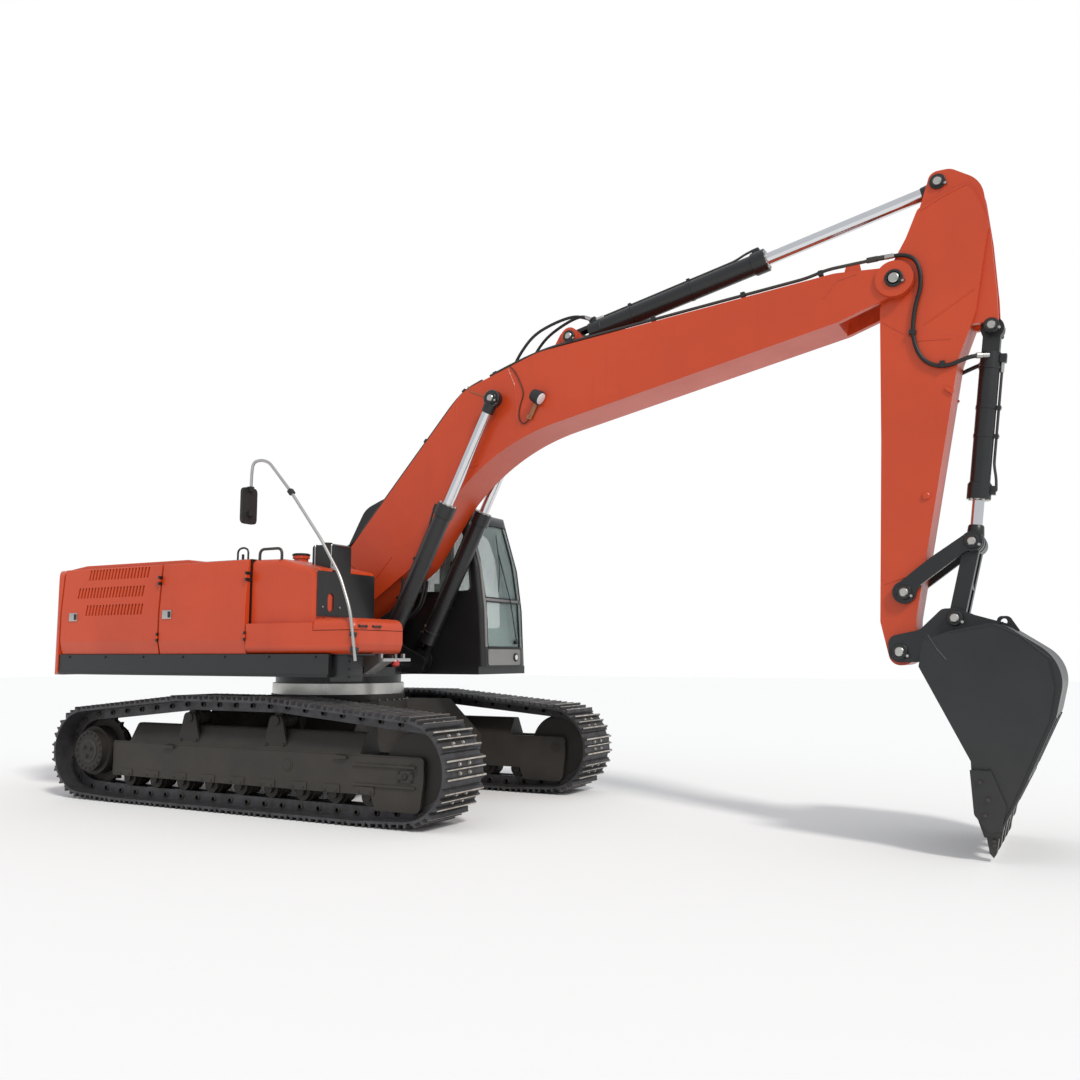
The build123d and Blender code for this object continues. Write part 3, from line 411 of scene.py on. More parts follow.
# %% Bright rib tips, shoe bolts and link pins
track_y, shoe_half, link_half = 1.3, 0.3, 0.094
narrow_gap, wide_gap = (0.0695, 0.0745), (0.0775, 0.0825)  # between ribs of one plate
for side, word in ((-1, "right"), (1, "left")):
    mid_y = side * track_y
    strips, bolts, pins = bmesh.new(), bmesh.new(), bmesh.new()
    tips = ribs[side]
    for index, (middle, out, ends) in enumerate(tips):
        if middle.z > 0.02:
            lift = out * 0.0007
            quad = []
            for (x, z), y in ((ends[0], -shoe_half), (ends[1], -shoe_half),
                              (ends[1], shoe_half), (ends[0], shoe_half)):
                quad.append(strips.verts.new(Vector((x, mid_y + y * 0.998, z)) + lift))
            strips.faces.new(quad)
        after, out_after, _ = tips[(index + 1) % len(tips)]
        gap = (after - middle).length
        one_plate = narrow_gap[0] < gap < narrow_gap[1] or wide_gap[0] < gap < wide_gap[1]
        if out.dot(out_after) < 0.9999 or not one_plate:
            continue
        seat = (middle + after) / 2 - (out + out_after).normalized() * 0.0298
        for y in (mid_y - 0.075, mid_y + 0.075):
            bolt(bolts, (seat.x, y, seat.z), out, 0.03)
        if gap > wide_gap[0]:
            along = (after - middle).normalized()
            for reach in (0.100, -0.108):
                pin = (middle + after) / 2 - out * 0.09 + along * reach
                for y, way in ((mid_y - link_half, -1), (mid_y + link_half, 1)):
                    turned(pins, (pin.x, y, pin.z), (0, way, 0),
                           [(0, 0.026), (0.010, 0.026), (0.014, 0.02)], 10)
    hand_over(f"rib_tips_{word}", strips, worn_steel, "undercarriage")
    hand_over(f"shoe_bolts_{word}", bolts, worn_steel, "undercarriage")
    hand_over(f"link_pins_{word}", pins, cast, "undercarriage")

# %% [markdown]
# Where two plates meet, a welder lays a bead. Seen close, it is a row of small
# ripples. It could be a bump in the material, but a bead also has to stand
# out in the mesh, so it is a thin tube, half sunk in the plate, whose radius
# wavers a little, as a hand-laid weld does.


# %% Helper: weld beads
def bead(mesh, points, radius=0.006, step=0.012):
    """A weld bead along a line, with the small ripples of a hand weld."""
    points = [Vector(point) for point in points]
    path = []
    for start, end in zip(points, points[1:]):
        count = max(2, int((end - start).length / step))
        path += [start.lerp(end, index / count) for index in range(count)]
    path.append(points[-1])
    over, rings = None, []
    for index, spot in enumerate(path):
        along = (path[min(index + 1, len(path) - 1)] - path[max(index - 1, 0)]).normalized()
        over = along.orthogonal() if over is None else over - along * over.dot(along)
        over.normalize()
        across = along.cross(over)
        swell = radius * (1 + 0.12 * math.sin(index * 2.1) + 0.06 * math.sin(index * 0.77))
        rings.append([mesh.verts.new(spot + (over * math.cos(a) + across * math.sin(a)) * swell)
                      for a in (math.pi * turn / 3 for turn in range(6))])
    for low, high in zip(rings, rings[1:]):
        for turn in range(6):
            after = (turn + 1) % 6
            mesh.faces.new((low[turn], low[after], high[after], high[turn]))
    mesh.faces.new(list(reversed(rings[0])))
    mesh.faces.new(rings[-1])


print("beads are ready")

# %% [markdown]
# The side frames are welded boxes. What tells their size are the small things:
# bolts under each lower roller, the ring of bolts on the final drive, the ribs
# beside the idler slide with the cover of its grease valve, and the feet of the
# carrier rollers. All are turned forms and blocks on the frame's outer face.


# %% Side frame fittings
def bolt_circle(mesh, spot_at, radius, count, out, width, start=0.0):
    """A ring of equal bolts. Spot_at: the place for two offsets across the ring."""
    for step in range(count):
        angle = 2 * math.pi * step / count + start
        bolt(mesh, spot_at(radius * math.cos(angle), radius * math.sin(angle)), out, width)


hub_x, hub_z = -2.015, 0.48
first_roller_x, roller_pitch, roller_count = -1.52, 0.38, 9
carrier_xs, carrier_face, carrier_z = (-0.669, 0.448), 1.43, 0.855
valve_x, valve_z = 1.944, 0.425
port_x, port_z = 0.624, 0.46
for side, word in ((-1, "right"), (1, "left")):
    trim, steel = bmesh.new(), bmesh.new()
    face_y = side * 1.45
    out = (0, side, 0)
    for index in range(roller_count):
        x = first_roller_x + index * roller_pitch
        for shift in (-0.062, 0.062):
            bolt(steel, (x + shift, face_y, 0.272), out, 0.026)
        slab(trim, (x, face_y + side * 0.004, 0.285), (0.19, 0.012, 0.07))
    bolt_circle(steel, lambda a, b: (hub_x + a, side * 1.515, hub_z + b), 0.178, 18, out, 0.024)
    bolt_circle(steel, lambda a, b: (hub_x + a, side * 1.528, hub_z + b), 0.055, 3, out, 0.03, 0.4)
    turned(trim, (hub_x, side * 1.514, hub_z), out, [(0, 0.125), (0.006, 0.125), (0.010, 0.118)], 40)
    for z in (0.505, 0.335):
        slab(trim, (1.72, face_y + side * 0.007, z), (0.66, 0.018, 0.018))
    slab(trim, (valve_x, face_y + side * 0.004, valve_z), (0.16, 0.012, 0.10))
    for x in (1.88, 2.008):
        for z in (0.39, 0.46):
            bolt(steel, (x, face_y + side * 0.01, z), out, 0.02)
    turned(steel, (valve_x, face_y + side * 0.008, valve_z), out,
           [(0, 0.026), (0.016, 0.026), (0.022, 0.018)], 16)
    for x in (-0.90, 1.25):
        slab(trim, (x, face_y + side * 0.012, 0.56), (0.13, 0.03, 0.03), edge=0.006)
    turned(trim, (port_x, face_y - side * 0.004, port_z), out,
           [(0, 0.058), (0.008, 0.058), (0.010, 0.052)], 28)
    turned(trim, (port_x, face_y + side * 0.004, port_z), out, [(0, 0.043), (0.0062, 0.043)], 28)
    for x in carrier_xs:
        for shift in (-0.105, 0.105):
            bolt(steel, (x + shift, side * carrier_face, 0.635), out, 0.026)
        turned(steel, (x, side * carrier_face, carrier_z), out,
               [(0, 0.05), (0.012, 0.05), (0.018, 0.042)], 24)
        bead(trim, [(x - 0.15, side * 1.432, 0.592), (x + 0.15, side * 1.432, 0.592)], 0.007)
    bead(trim, [(-1.70, face_y, 0.588), (2.08, face_y, 0.588)], 0.006)
    bead(trim, [(-1.706, face_y, 0.27), (-1.706, face_y, 0.57)], 0.006)
    hand_over(f"side_frame_trim_{word}", trim, frame_grey, "undercarriage")
    hand_over(f"side_frame_bolts_{word}", steel, cast, "undercarriage")

# %% [markdown]
# The slewing ring is a large ball bearing between the tracks and the house, held
# by a close circle of bolts. A real one has its bolts every eight degrees or so,
# and the same helper lays them out, now flat round the swing axis.

# %% Slewing ring bolts
mesh = bmesh.new()
bolt_circle(mesh, lambda a, b: (a, b, 0.99), 0.73, 44, (0, 0, 1), 0.03)
hand_over("ring_bolts", mesh, dark_steel, "undercarriage")

# %% [markdown]
# ## Upper structure
# The doors are bent sheets, and each has a flush latch: a bright plate with a
# paddle that folds flat into it, a key barrel and a black grip. Three small
# blocks and a turned form are enough at this size, and each latch rides on its
# own door, so it swings with it.


# %% Door latches
def door_latch(name, x, side, z, body):
    """A plate with a paddle that folds flat into it."""
    mesh = bmesh.new()
    face_y = side * 1.480
    slab(mesh, (x, face_y + side * 0.003, z), (0.125, 0.012, 0.088), edge=0.005)
    slab(mesh, (x - 0.014, face_y + side * 0.011, z + 0.004), (0.076, 0.012, 0.058), edge=0.005)
    turned(mesh, (x - 0.014, face_y + side * 0.014, z - 0.014), (0, side, 0),
           [(0, 0.009), (0.004, 0.009), (0.006, 0.006)], 16)
    hand_over(name, mesh, silver, body)
    mesh = bmesh.new()
    slab(mesh, (x + 0.040, face_y + side * 0.011, z), (0.024, 0.014, 0.062), edge=0.004)
    hand_over(name + "_grip", mesh, plastic, body)


for name, x, side, z, body in (
    ("latch_right_rear", -2.40, -1, 1.86, "door_right_rear"),
    ("latch_right_front", -0.985, -1, 1.86, "door_right_front"),
    ("latch_left_rear", -2.48, 1, 1.86, "door_left_rear"),
    ("latch_left_front", -1.375, 1, 1.86, "door_left_front"),
):
    door_latch(name, x, side, z, body)

# %% [markdown]
# A black skirt closes the deck under the doors. Its sheet is folded in a lip at
# the lower edge and screwed on by a row of small bolts. The skirt on the cab's
# side is shorter, so the row is spread over the length that each side has.

# %% Skirt lips and bolts
skirt_back, bolts_in_row = 2.61, 7
for side, word, front in ((-1, "right", 1.085), (1, "left", -0.465)):
    mesh = bmesh.new()
    slab(mesh, ((front - skirt_back) / 2, side * 1.4705, 1.268), (front + skirt_back, 0.014, 0.020))
    for index in range(bolts_in_row):
        x = -2.45 + index * (front + 2.3) / (bolts_in_row - 1)
        bolt(mesh, (x, side * 1.468, 1.44), (0, side, 0), 0.022)
    hand_over(f"skirt_lip_{word}", mesh, black, "house")

# %% [markdown]
# Hard pipes, rails, handles and the rubber round a window are all one thing: a
# round section carried along a bent line. A curve with a bevel would do, but its
# section twists at tight bends, so this helper rounds each corner first and then
# carries one frame of axes along the path, turning it as little as it can.


# %% Helper: bent pipes
def rounded_path(points, bend, steps=5):
    """The points of a bent line: straight runs joined by round bends."""
    points = [Vector(point) for point in points]
    path = [points[0]]
    for before, corner, after in zip(points, points[1:], points[2:]):
        inward, outward = (before - corner), (after - corner)
        room = min(bend, inward.length * 0.49, outward.length * 0.49)
        first, last = corner + inward.normalized() * room, corner + outward.normalized() * room
        for step in range(steps + 1):
            share = step / steps
            path.append(first.lerp(corner, share).lerp(corner.lerp(last, share), share))
    path.append(points[-1])
    return path


def pipe(mesh, points, radius, bend=0.05, sides=12, closed=False, steps=5):
    """A hard pipe, rail or rubber strip along a bent line."""
    path = rounded_path(points, bend, steps) if not closed else [Vector(point) for point in points]
    count = len(path)
    rings, over = [], None
    for index, spot in enumerate(path):
        ahead = path[(index + 1) % count] if closed or index < count - 1 else spot
        behind = path[index - 1] if closed or index > 0 else spot
        along = (ahead - behind).normalized()
        over = along.orthogonal() if over is None else over - along * over.dot(along)
        over.normalize()
        across = along.cross(over)
        rings.append([mesh.verts.new(spot + (over * math.cos(a) + across * math.sin(a)) * radius)
                      for a in (2 * math.pi * step / sides for step in range(sides))])
    pairs = list(zip(rings, rings[1:])) + ([(rings[-1], rings[0])] if closed else [])
    for low, high in pairs:
        for step in range(sides):
            after = (step + 1) % sides
            mesh.faces.new((low[step], low[after], high[after], high[step]))
    if not closed:
        mesh.faces.new(list(reversed(rings[0])))
        mesh.faces.new(rings[-1])


print("bent pipes are ready")

# %% [markdown]
# The hood doubles as a walkway, so its sheet is pressed with small lozenges that
# lie crosswise in turn. They are real blocks of 2 mm height and not a bump map,
# so they catch the light at the edge of the hood too. The middle column stays
# free. Two hasps with a wire loop hold the hood down at the back.


# %% Hood treads and hasps
def tread_pads(mesh, first, pitch, columns, row_count, size):
    """Raised lozenges in rows, each turned the other way than its neighbours."""
    for column in columns:
        for row in range(row_count):
            x, y = first[0] + column * pitch[0], first[1] + row * pitch[1]
            turn = 45 if (row + column) % 2 else -45
            slab(mesh, (x, y, first[2]), size, (0, 0, turn), 0.0015)


mesh = bmesh.new()
tread_pads(mesh, (-2.20, -1.22, 2.4062), (0.128, 0.128), (0, 1, 2, 3, 4, 6, 7, 8, 9, 10), 20,
           (0.05, 0.018, 0.004))
hand_over("hood_tread", mesh, orange, "engine_hood")
mesh = bmesh.new()
for y in (-1.05, 1.05):
    slab(mesh, (-2.585, y, 2.371), (0.05, 0.09, 0.012))
    pipe(mesh, [(-2.575, y - 0.03, 2.375), (-2.575, y - 0.03, 2.395), (-2.575, y + 0.03, 2.395),
                (-2.575, y + 0.03, 2.375)], 0.006, 0.012, 8)
hand_over("hood_hasps", mesh, dark_steel, "engine_hood")

# %% [markdown]
# In front of the hood's right corner stands a small hoop with a post in it. It
# is bent from bar, so it is one pipe with round shoulders and one straight bar.

# %% Hoop in front of the hood
hoop_y, hoop_foot = -1.20, 2.372
mesh = bmesh.new()
rod_form(mesh, (-0.26, hoop_y, hoop_foot), (-0.26, hoop_y, 2.455), 0.013)
pipe(mesh, [(-0.33, hoop_y, hoop_foot), (-0.33, hoop_y, 2.500), (-0.26, hoop_y, 2.525),
            (-0.19, hoop_y, 2.500), (-0.19, hoop_y, hoop_foot)], 0.010, 0.06, 10)
hand_over("hood_hook", mesh, dark_steel, "house")

# %% [markdown]
# The counterweight is one casting. Two plugs close the bolt holes that hold it
# to the frame, and a bead runs along each end of its two lifting pockets.

# %% Counterweight plugs
mesh = bmesh.new()
for y in (-0.42, 0.42):
    turned(mesh, (-3.12, y, 2.372), (0, 0, 1), [(-0.01, 0.035), (0.004, 0.035), (0.010, 0.026)], 20)
for y in (-0.62, 0.62):
    for x in (-2.97, -2.75):
        bead(mesh, [(x, y - 0.075, 2.371), (x, y + 0.075, 2.371)], 0.004)
hand_over("counterweight_plugs", mesh, dark_steel, "house")

# %% [markdown]
# The lid of the tool box opens by two half-round handles on its front. Each is a
# bent rod that stands on two small round feet.

# %% Handles of the tool box lid
mesh = bmesh.new()
for y in (-1.36, -1.16):
    pipe(mesh, [(1.378, y - 0.05, 1.715), (1.402, y - 0.05, 1.715), (1.402, y + 0.05, 1.715),
                (1.378, y + 0.05, 1.715)], 0.008, 0.024, 10)
    for shift in (-0.05, 0.05):
        turned(mesh, (1.382, y + shift, 1.715), (1, 0, 0),
               [(0, 0.015), (0.005, 0.015), (0.007, 0.01)], 14)
hand_over("lid_handles", mesh, dark_steel, "tool_box_lid")

# %% [markdown]
# Brackets and mirrors are flat plates of a free outline. A plate is drawn by its
# corners, each with its own radius, and raised between two levels. A Boolean cut
# from a block gives the same form but a worse mesh, and it is harder to change.


# %% Helper: plates
def rounded_rows(rows, steps=6):
    """Points of a closed outline. Rows: first, second, corner radius."""
    spots = []
    for index, (first, second, radius) in enumerate(rows):
        corner = Vector((first, second))
        before = Vector(rows[index - 1][:2]) - corner
        after = Vector(rows[(index + 1) % len(rows)][:2]) - corner
        reach = radius / math.tan(before.angle(after) / 2) if radius else 0
        room = min(reach, before.length * 0.49, after.length * 0.49)
        if room < 1e-5:
            spots.append(corner)
            continue
        start, end = corner + before.normalized() * room, corner + after.normalized() * room
        for step in range(steps + 1):
            share = step / steps
            spots.append(start.lerp(corner, share).lerp(corner.lerp(end, share), share))
    return spots


def plate(mesh, rows, low, high, plane="XZ"):
    """A flat plate from an outline, between two levels of the axis that the plane leaves out."""
    spots = rounded_rows(rows)

    def spot_at(spot, level):
        return {"XZ": (spot.x, level, spot.y), "YZ": (level, spot.x, spot.y),
                "XY": (spot.x, spot.y, level)}[plane]

    below = [mesh.verts.new(spot_at(spot, low)) for spot in spots]
    above = [mesh.verts.new(spot_at(spot, high)) for spot in spots]
    mesh.faces.new(below)
    mesh.faces.new(list(reversed(above)))
    for index in range(len(spots)):
        after = (index + 1) % len(spots)
        mesh.faces.new((below[index], above[index], above[after], below[after]))


print("plates are ready")

# %% [markdown]
# Under the tool box hangs a step: a black box with three grip bars across its
# front and a thin tread on top. Beside it two grey cheeks hold a sloping sheet.
# The cheeks are one outline, raised twice.

# %% Step under the tool box
mesh = bmesh.new()
slab(mesh, (1.16, -1.30, 1.335), (0.20, 0.22, 0.235), edge=0.010)
for z in (1.26, 1.33, 1.40):
    slab(mesh, (1.264, -1.30, z), (0.012, 0.17, 0.016), edge=0.003)
slab(mesh, (1.20, -1.28, 1.46), (0.34, 0.26, 0.014))
hand_over("step_box", mesh, black, "house")
cheek = [(0.98, 1.458, 0.0), (1.30, 1.458, 0.01), (1.30, 1.400, 0.01), (1.06, 1.262, 0.02),
         (0.98, 1.262, 0.01)]
mesh = bmesh.new()
for low, high in ((-0.962, -0.948), (-0.80, -0.786)):
    plate(mesh, cheek, low, high)
slab(mesh, (1.185, -0.875, 1.338), (0.30, 0.17, 0.010), (0, -31, 0), 0.003)
hand_over("step_plates", mesh, cab_grey, "house")

# %% [markdown]
# A bright bar across the front of the deck carries a red marker lamp. The lamp
# is a turned cup that tips down a little. It is opaque with a clear coat: at
# this size a lens that lets light through would only look darker.

# %% Lamp bar and red lamp
bar_x, bar_y = 1.405, -0.90
mesh = bmesh.new()
slab(mesh, (bar_x, bar_y, 1.412), (0.055, 0.42, 0.030), edge=0.006)
for y in (-1.07, -0.73):
    slab(mesh, (1.37, y, 1.438), (0.03, 0.03, 0.062))
hand_over("lamp_bar", mesh, silver, "house")
mesh = bmesh.new()
turned(mesh, (bar_x, bar_y, 1.398), (0.35, 0, -1),
       [(0, 0.036), (0.012, 0.038), (0.040, 0.034), (0.050, 0.022)], 24)
hand_over("red_lamp", mesh, lamp_red, "house")

# %% [markdown]
# The fuel tank is filled from above through a collar with a black cap, whose rim
# has twelve grips. Bright trim sits near it: the collar, two studs on the guard
# and two wire bails over the filter box with their catch.

# %% Tank cap and bright trim
cap_x, cap_y, cap_radius, grip_count = 0.23, -0.90, 0.083, 12
mesh = bmesh.new()
turned(mesh, (cap_x, cap_y, 2.437), (0, 0, 1),
       [(0, 0.080), (0.006, cap_radius), (0.020, cap_radius), (0.027, 0.074)], 32)
for step in range(grip_count):
    angle = 2 * math.pi * step / grip_count
    slab(mesh, (cap_x + cap_radius * math.cos(angle), cap_y + cap_radius * math.sin(angle), 2.450),
         (0.012, 0.016, 0.018), (0, 0, math.degrees(angle)), 0.003)
hand_over("tank_cap", mesh, plastic, "house")
mesh = bmesh.new()
turned(mesh, (cap_x, cap_y, 2.36), (0, 0, 1), [(0, 0.112), (0.010, 0.112), (0.016, 0.102)], 36)
for y in (-1.34, -1.10):
    turned(mesh, (0.896, y, 1.900), (1, 0, 0), [(0, 0.011), (0.006, 0.011), (0.009, 0.006)], 14)
for x in (0.655, 0.855):
    pipe(mesh, [(x, -1.184, 2.285), (x, -1.184, 2.502), (x, -0.936, 2.502), (x, -0.936, 2.285)],
         0.005, 0.02, 6)
slab(mesh, (0.880, -1.184, 2.27), (0.05, 0.014, 0.04))
hand_over("tank_bright_trim", mesh, silver, "house")

# %% [markdown]
# Whoever fills the tank climbs the tool box, so its lid has the same lozenges as
# the hood, and a grab rail stands on the tank. The rail is a bent tube on two
# round feet that are welded to the sheet.

# %% Rail on the tank and treads on the lid
rail_y, rail_top = -1.36, 2.47
mesh = bmesh.new()
pipe(mesh, [(0.12, rail_y, 2.33), (0.12, rail_y, rail_top), (0.40, rail_y, rail_top),
            (0.40, rail_y, 2.32)], 0.014, 0.06, 12)
for x in (0.12, 0.40):
    turned(mesh, (x, rail_y, 2.345), (0, 0, 1), [(0, 0.026), (0.010, 0.026), (0.014, 0.018)], 18)
hand_over("tank_rail", mesh, dark_steel, "house")
mesh = bmesh.new()
tread_pads(mesh, (0.98, -1.33, 1.7922), (0.13, 0.10), range(3), 6, (0.045, 0.016, 0.004))
hand_over("lid_tread", mesh, orange, "tool_box_lid")

# %% [markdown]
# The mirror hangs from a bent silver tube that springs from the front of the tool
# box and leans back over the tank, so the driver sees the right side in it. The
# tube is a hard pipe, so it is a swept mesh with round bends, not a cord. Black
# clamps hold it to the tool box and join its two lengths.

# %% Mirror pole and its clamps
pole_y, pole_end_x = -1.497, 0.112
mirror_line = [
    (1.417, pole_y, 1.404), (1.385, pole_y, 1.62), (1.346, pole_y, 1.860), (1.227, pole_y, 2.162),
    (1.008, pole_y, 2.490), (0.620, pole_y, 2.973), (0.330, pole_y, 3.285), (0.225, pole_y, 3.315),
    (0.128, pole_y, 3.300), (pole_end_x, pole_y, 3.180), (pole_end_x, pole_y, 3.020),
]
mesh = bmesh.new()
pipe(mesh, mirror_line, 0.0145, 0.09, 14, steps=6)
hand_over("mirror_pole", mesh, silver, "house")
mesh = bmesh.new()
slab(mesh, (0.620, pole_y, 2.973), (0.055, 0.05, 0.045), (0, 50, 0), 0.006)
slab(mesh, (1.388, -1.478, 1.500), (0.075, 0.06, 0.055), (0, 8, 40), 0.006)
slab(mesh, (1.372, -1.478, 1.640), (0.065, 0.055, 0.040), (0, 8, 40), 0.006)
slab(mesh, (0.106, pole_y, 3.04), (0.05, 0.05, 0.05), edge=0.006)
slab(mesh, (0.106, pole_y, 2.80), (0.045, 0.05, 0.05), edge=0.006)
hand_over("mirror_clamps", mesh, plastic, "house")

# %% [markdown]
# The mirror's housing is deep and soft at its rims, so the plate's sharp edges,
# found by the angle of their faces, are bevelled in three steps. The glass is a
# thinner plate just before it, 10 mm smaller all round.

# %% Mirror shell and glass
mesh = bmesh.new()
plate(mesh, [(-1.588, 2.705, 0.05), (-1.395, 2.705, 0.05), (-1.395, 3.055, 0.05), (-1.588, 3.055, 0.05)],
      0.066, 0.098, "YZ")
rims = [edge for edge in mesh.edges if edge.calc_face_angle(0) > 1.2]
bmesh.ops.bevel(mesh, geom=rims, offset=0.009, segments=3, affect="EDGES", profile=0.6)
hand_over("mirror_shell", mesh, plastic, "house")
mesh = bmesh.new()
plate(mesh, [(-1.578, 2.715, 0.045), (-1.405, 2.715, 0.045), (-1.405, 3.045, 0.045),
             (-1.578, 3.045, 0.045)], 0.0635, 0.0665, "YZ")
hand_over("mirror_glass", mesh, chrome, "house")

# %% [markdown]
# ## Cab
# The panes sit in black rubber. The strips follow the cut-outs of the shell, so
# they are tubes swept round the same outlines as the panes. A windshield leans,
# so its strip takes the X of the cab's front at each height from a short table.


# %% Window rubbers
def rubber_ring(mesh, rows, place):
    """A rubber strip round a window outline. Place: puts a point of the outline in the cab."""
    pipe(mesh, [place(spot.x, spot.y) for spot in rounded_rows(rows)], 0.011, 0, 8, closed=True)


cab_right, cab_left = 0.455, 1.500
side_glass = [(1.375, 2.130, 0.06), (1.330, 2.560, 0.2), (1.235, 2.860, 0.09), (1.080, 2.960, 0.09),
              (0.520, 2.990, 0.06), (0.520, 2.130, 0.06)]
rear_glass = [(0.440, 2.050, 0.06), (0.440, 2.990, 0.06), (0.120, 2.975, 0.06), (-0.220, 2.640, 0.06),
              (-0.260, 2.050, 0.06)]
left_glass = [(0.290, 2.050, 0.06), (0.290, 2.990, 0.06), (0.060, 2.950, 0.06), (-0.220, 2.640, 0.06),
              (-0.260, 2.050, 0.06)]
door_pane = [(1.130, 1.760, 0.05), (1.120, 2.060, 0), (1.060, 2.560, 0.18), (0.960, 2.800, 0.07),
             (0.840, 2.900, 0.07), (0.450, 2.930, 0.04), (0.450, 1.760, 0.05)]
front_heights = ((1.340, 1.548), (1.950, 1.520), (2.400, 1.458), (2.995, 1.275), (3.300, 1.180))


def front_at(height):
    """The X of the cab's leaning front at a height."""
    for (low, x_low), (high, x_high) in zip(front_heights, front_heights[1:]):
        if low <= height <= high:
            return x_low + (x_high - x_low) * (height - low) / (high - low)
    return front_heights[-1][1]


mesh = bmesh.new()
rubber_ring(mesh, side_glass, lambda x, z: (x, cab_right + 0.002, z))
rubber_ring(mesh, rear_glass, lambda x, z: (x, cab_right + 0.002, z))
rubber_ring(mesh, left_glass, lambda x, z: (x, cab_left - 0.002, z))
for low, high in ((1.540, 2.028), (2.064, 2.890)):
    middle = (low + high) / 2
    front_pane = [(0.530, low, 0.04), (1.20, low, 0), (1.20, middle, 0), (1.20, high, 0),
                  (0.530, high, 0.04), (0.530, middle, 0)]
    rubber_ring(mesh, front_pane, lambda y, z: (front_at(z) - 0.002, y, z))
hand_over("window_rubbers", mesh, rubber, "house")
mesh = bmesh.new()
rubber_ring(mesh, door_pane, lambda x, z: (x, cab_left + 0.001, z))
hand_over("door_rubber", mesh, rubber, "cab_door")

# %% [markdown]
# The near front pillar and the panel below the windshield are light grey. The
# pillar leans with the windshield and bends with it, so it is a strip of short
# faces along the same table of heights, pulled to a thin plate. A bar of the
# same grey parts the two panes.

# %% Front pillar and lower panel
pillar_near, pillar_far, pillar_out, pillar_thick = 0.487, 0.526, 0.006, 0.010
levels = [1.545 + index * 0.0675 for index in range(21)]
mesh = bmesh.new()
for low, high in zip(levels, levels[1:]):
    corners = []
    for height in (low, high):
        corners += [(front_at(height) + pillar_out, y, height) for y in (pillar_near, pillar_far)]
    spots = [mesh.verts.new(corner) for corner in corners]
    mesh.faces.new((spots[0], spots[1], spots[3], spots[2]))
bmesh.ops.remove_doubles(mesh, verts=mesh.verts, dist=0.0005)
made = bmesh.ops.extrude_face_region(mesh, geom=mesh.faces[:])
for corner in [item for item in made["geom"] if isinstance(item, bmesh.types.BMVert)]:
    corner.co.x -= pillar_thick
hand_over("front_pillar", mesh, cab_grey, "house")
panel_x = front_at(1.44)
mesh = bmesh.new()
plate(mesh, [(0.530, 1.352, 0.03), (1.195, 1.352, 0.03), (1.195, 1.520, 0.03), (0.530, 1.520, 0.03)],
      panel_x - 0.01, panel_x + 0.0105, "YZ")
slab(mesh, (front_at(2.046) + 0.003, 0.865, 2.046), (0.014, 0.68, 0.026))
hand_over("front_panel", mesh, cab_grey, "house")

# %% [markdown]
# A round work lamp sits low in that panel: a black rim and a pale lens, both
# turned. The lens is opaque and glossy, which reads as glass over a reflector.

# %% Work lamp in the lower panel
lamp_y, lamp_z = 1.09, 1.435
mesh = bmesh.new()
turned(mesh, (panel_x + 0.009, lamp_y, lamp_z), (1, 0, 0),
       [(0, 0.046), (0.010, 0.046), (0.016, 0.038)], 28)
hand_over("front_lamp_rim", mesh, plastic, "house")
mesh = bmesh.new()
turned(mesh, (panel_x + 0.018, lamp_y, lamp_z), (1, 0, 0),
       [(0, 0.035), (0.006, 0.033), (0.009, 0.02)], 28)
hand_over("front_lamp_lens", mesh, lamp_clear, "house")

# %% [markdown]
# A wiper is an arm from a pivot below the glass and a blade that lies on it, both
# a little off the pane. The door has a grip and an upright bar to pull it by, and
# a rail beside the door helps the driver up. The grip rides on the door.

# %% Wiper, door handle and rail
wiper_foot_y, wiper_foot_z = 1.10, 1.60
mesh = bmesh.new()
wiper_arm = [(front_at(z) + 0.024, y, z) for y, z in ((wiper_foot_y, wiper_foot_z), (1.02, 2.02),
                                                      (0.92, 2.55))]
pipe(mesh, wiper_arm, 0.006, 0.02, 8)
turned(mesh, (front_at(wiper_foot_z) - 0.002, wiper_foot_y, wiper_foot_z), (1, 0, 0),
       [(0, 0.022), (0.030, 0.022), (0.036, 0.016)], 18)
blade = [(front_at(z) + 0.014, y, z) for y, z in ((0.80, 2.14), (0.885, 2.40), (0.99, 2.78))]
pipe(mesh, blade, 0.005, 0.02, 6)
hand_over("wiper", mesh, plastic, "house")
mesh = bmesh.new()
slab(mesh, (1.115, cab_left + 0.010, 1.99), (0.035, 0.016, 0.13), edge=0.006)
pipe(mesh, [(0.475, cab_left + 0.002, 1.90), (0.475, cab_left + 0.030, 1.90),
            (0.475, cab_left + 0.030, 2.45), (0.475, cab_left + 0.002, 2.45)], 0.010, 0.03, 10)
hand_over("door_handle", mesh, plastic, "cab_door")
mesh = bmesh.new()
pipe(mesh, [(1.31, cab_left - 0.03, 1.62), (1.36, cab_left + 0.022, 1.66), (1.32, cab_left + 0.022, 2.30),
            (1.25, cab_left - 0.03, 2.36)], 0.014, 0.05, 12)
hand_over("cab_rail", mesh, black, "house")

# %% [markdown]
# The driver sits on a padded cushion with a back and a headrest, seen through the
# glass. A cushion is crowned, its sides pull in between the corners, and two
# sewn channels run along it. Cloth could be simulated, but here a grid that is
# bent by a formula and then subdivided gives the same form and never changes.


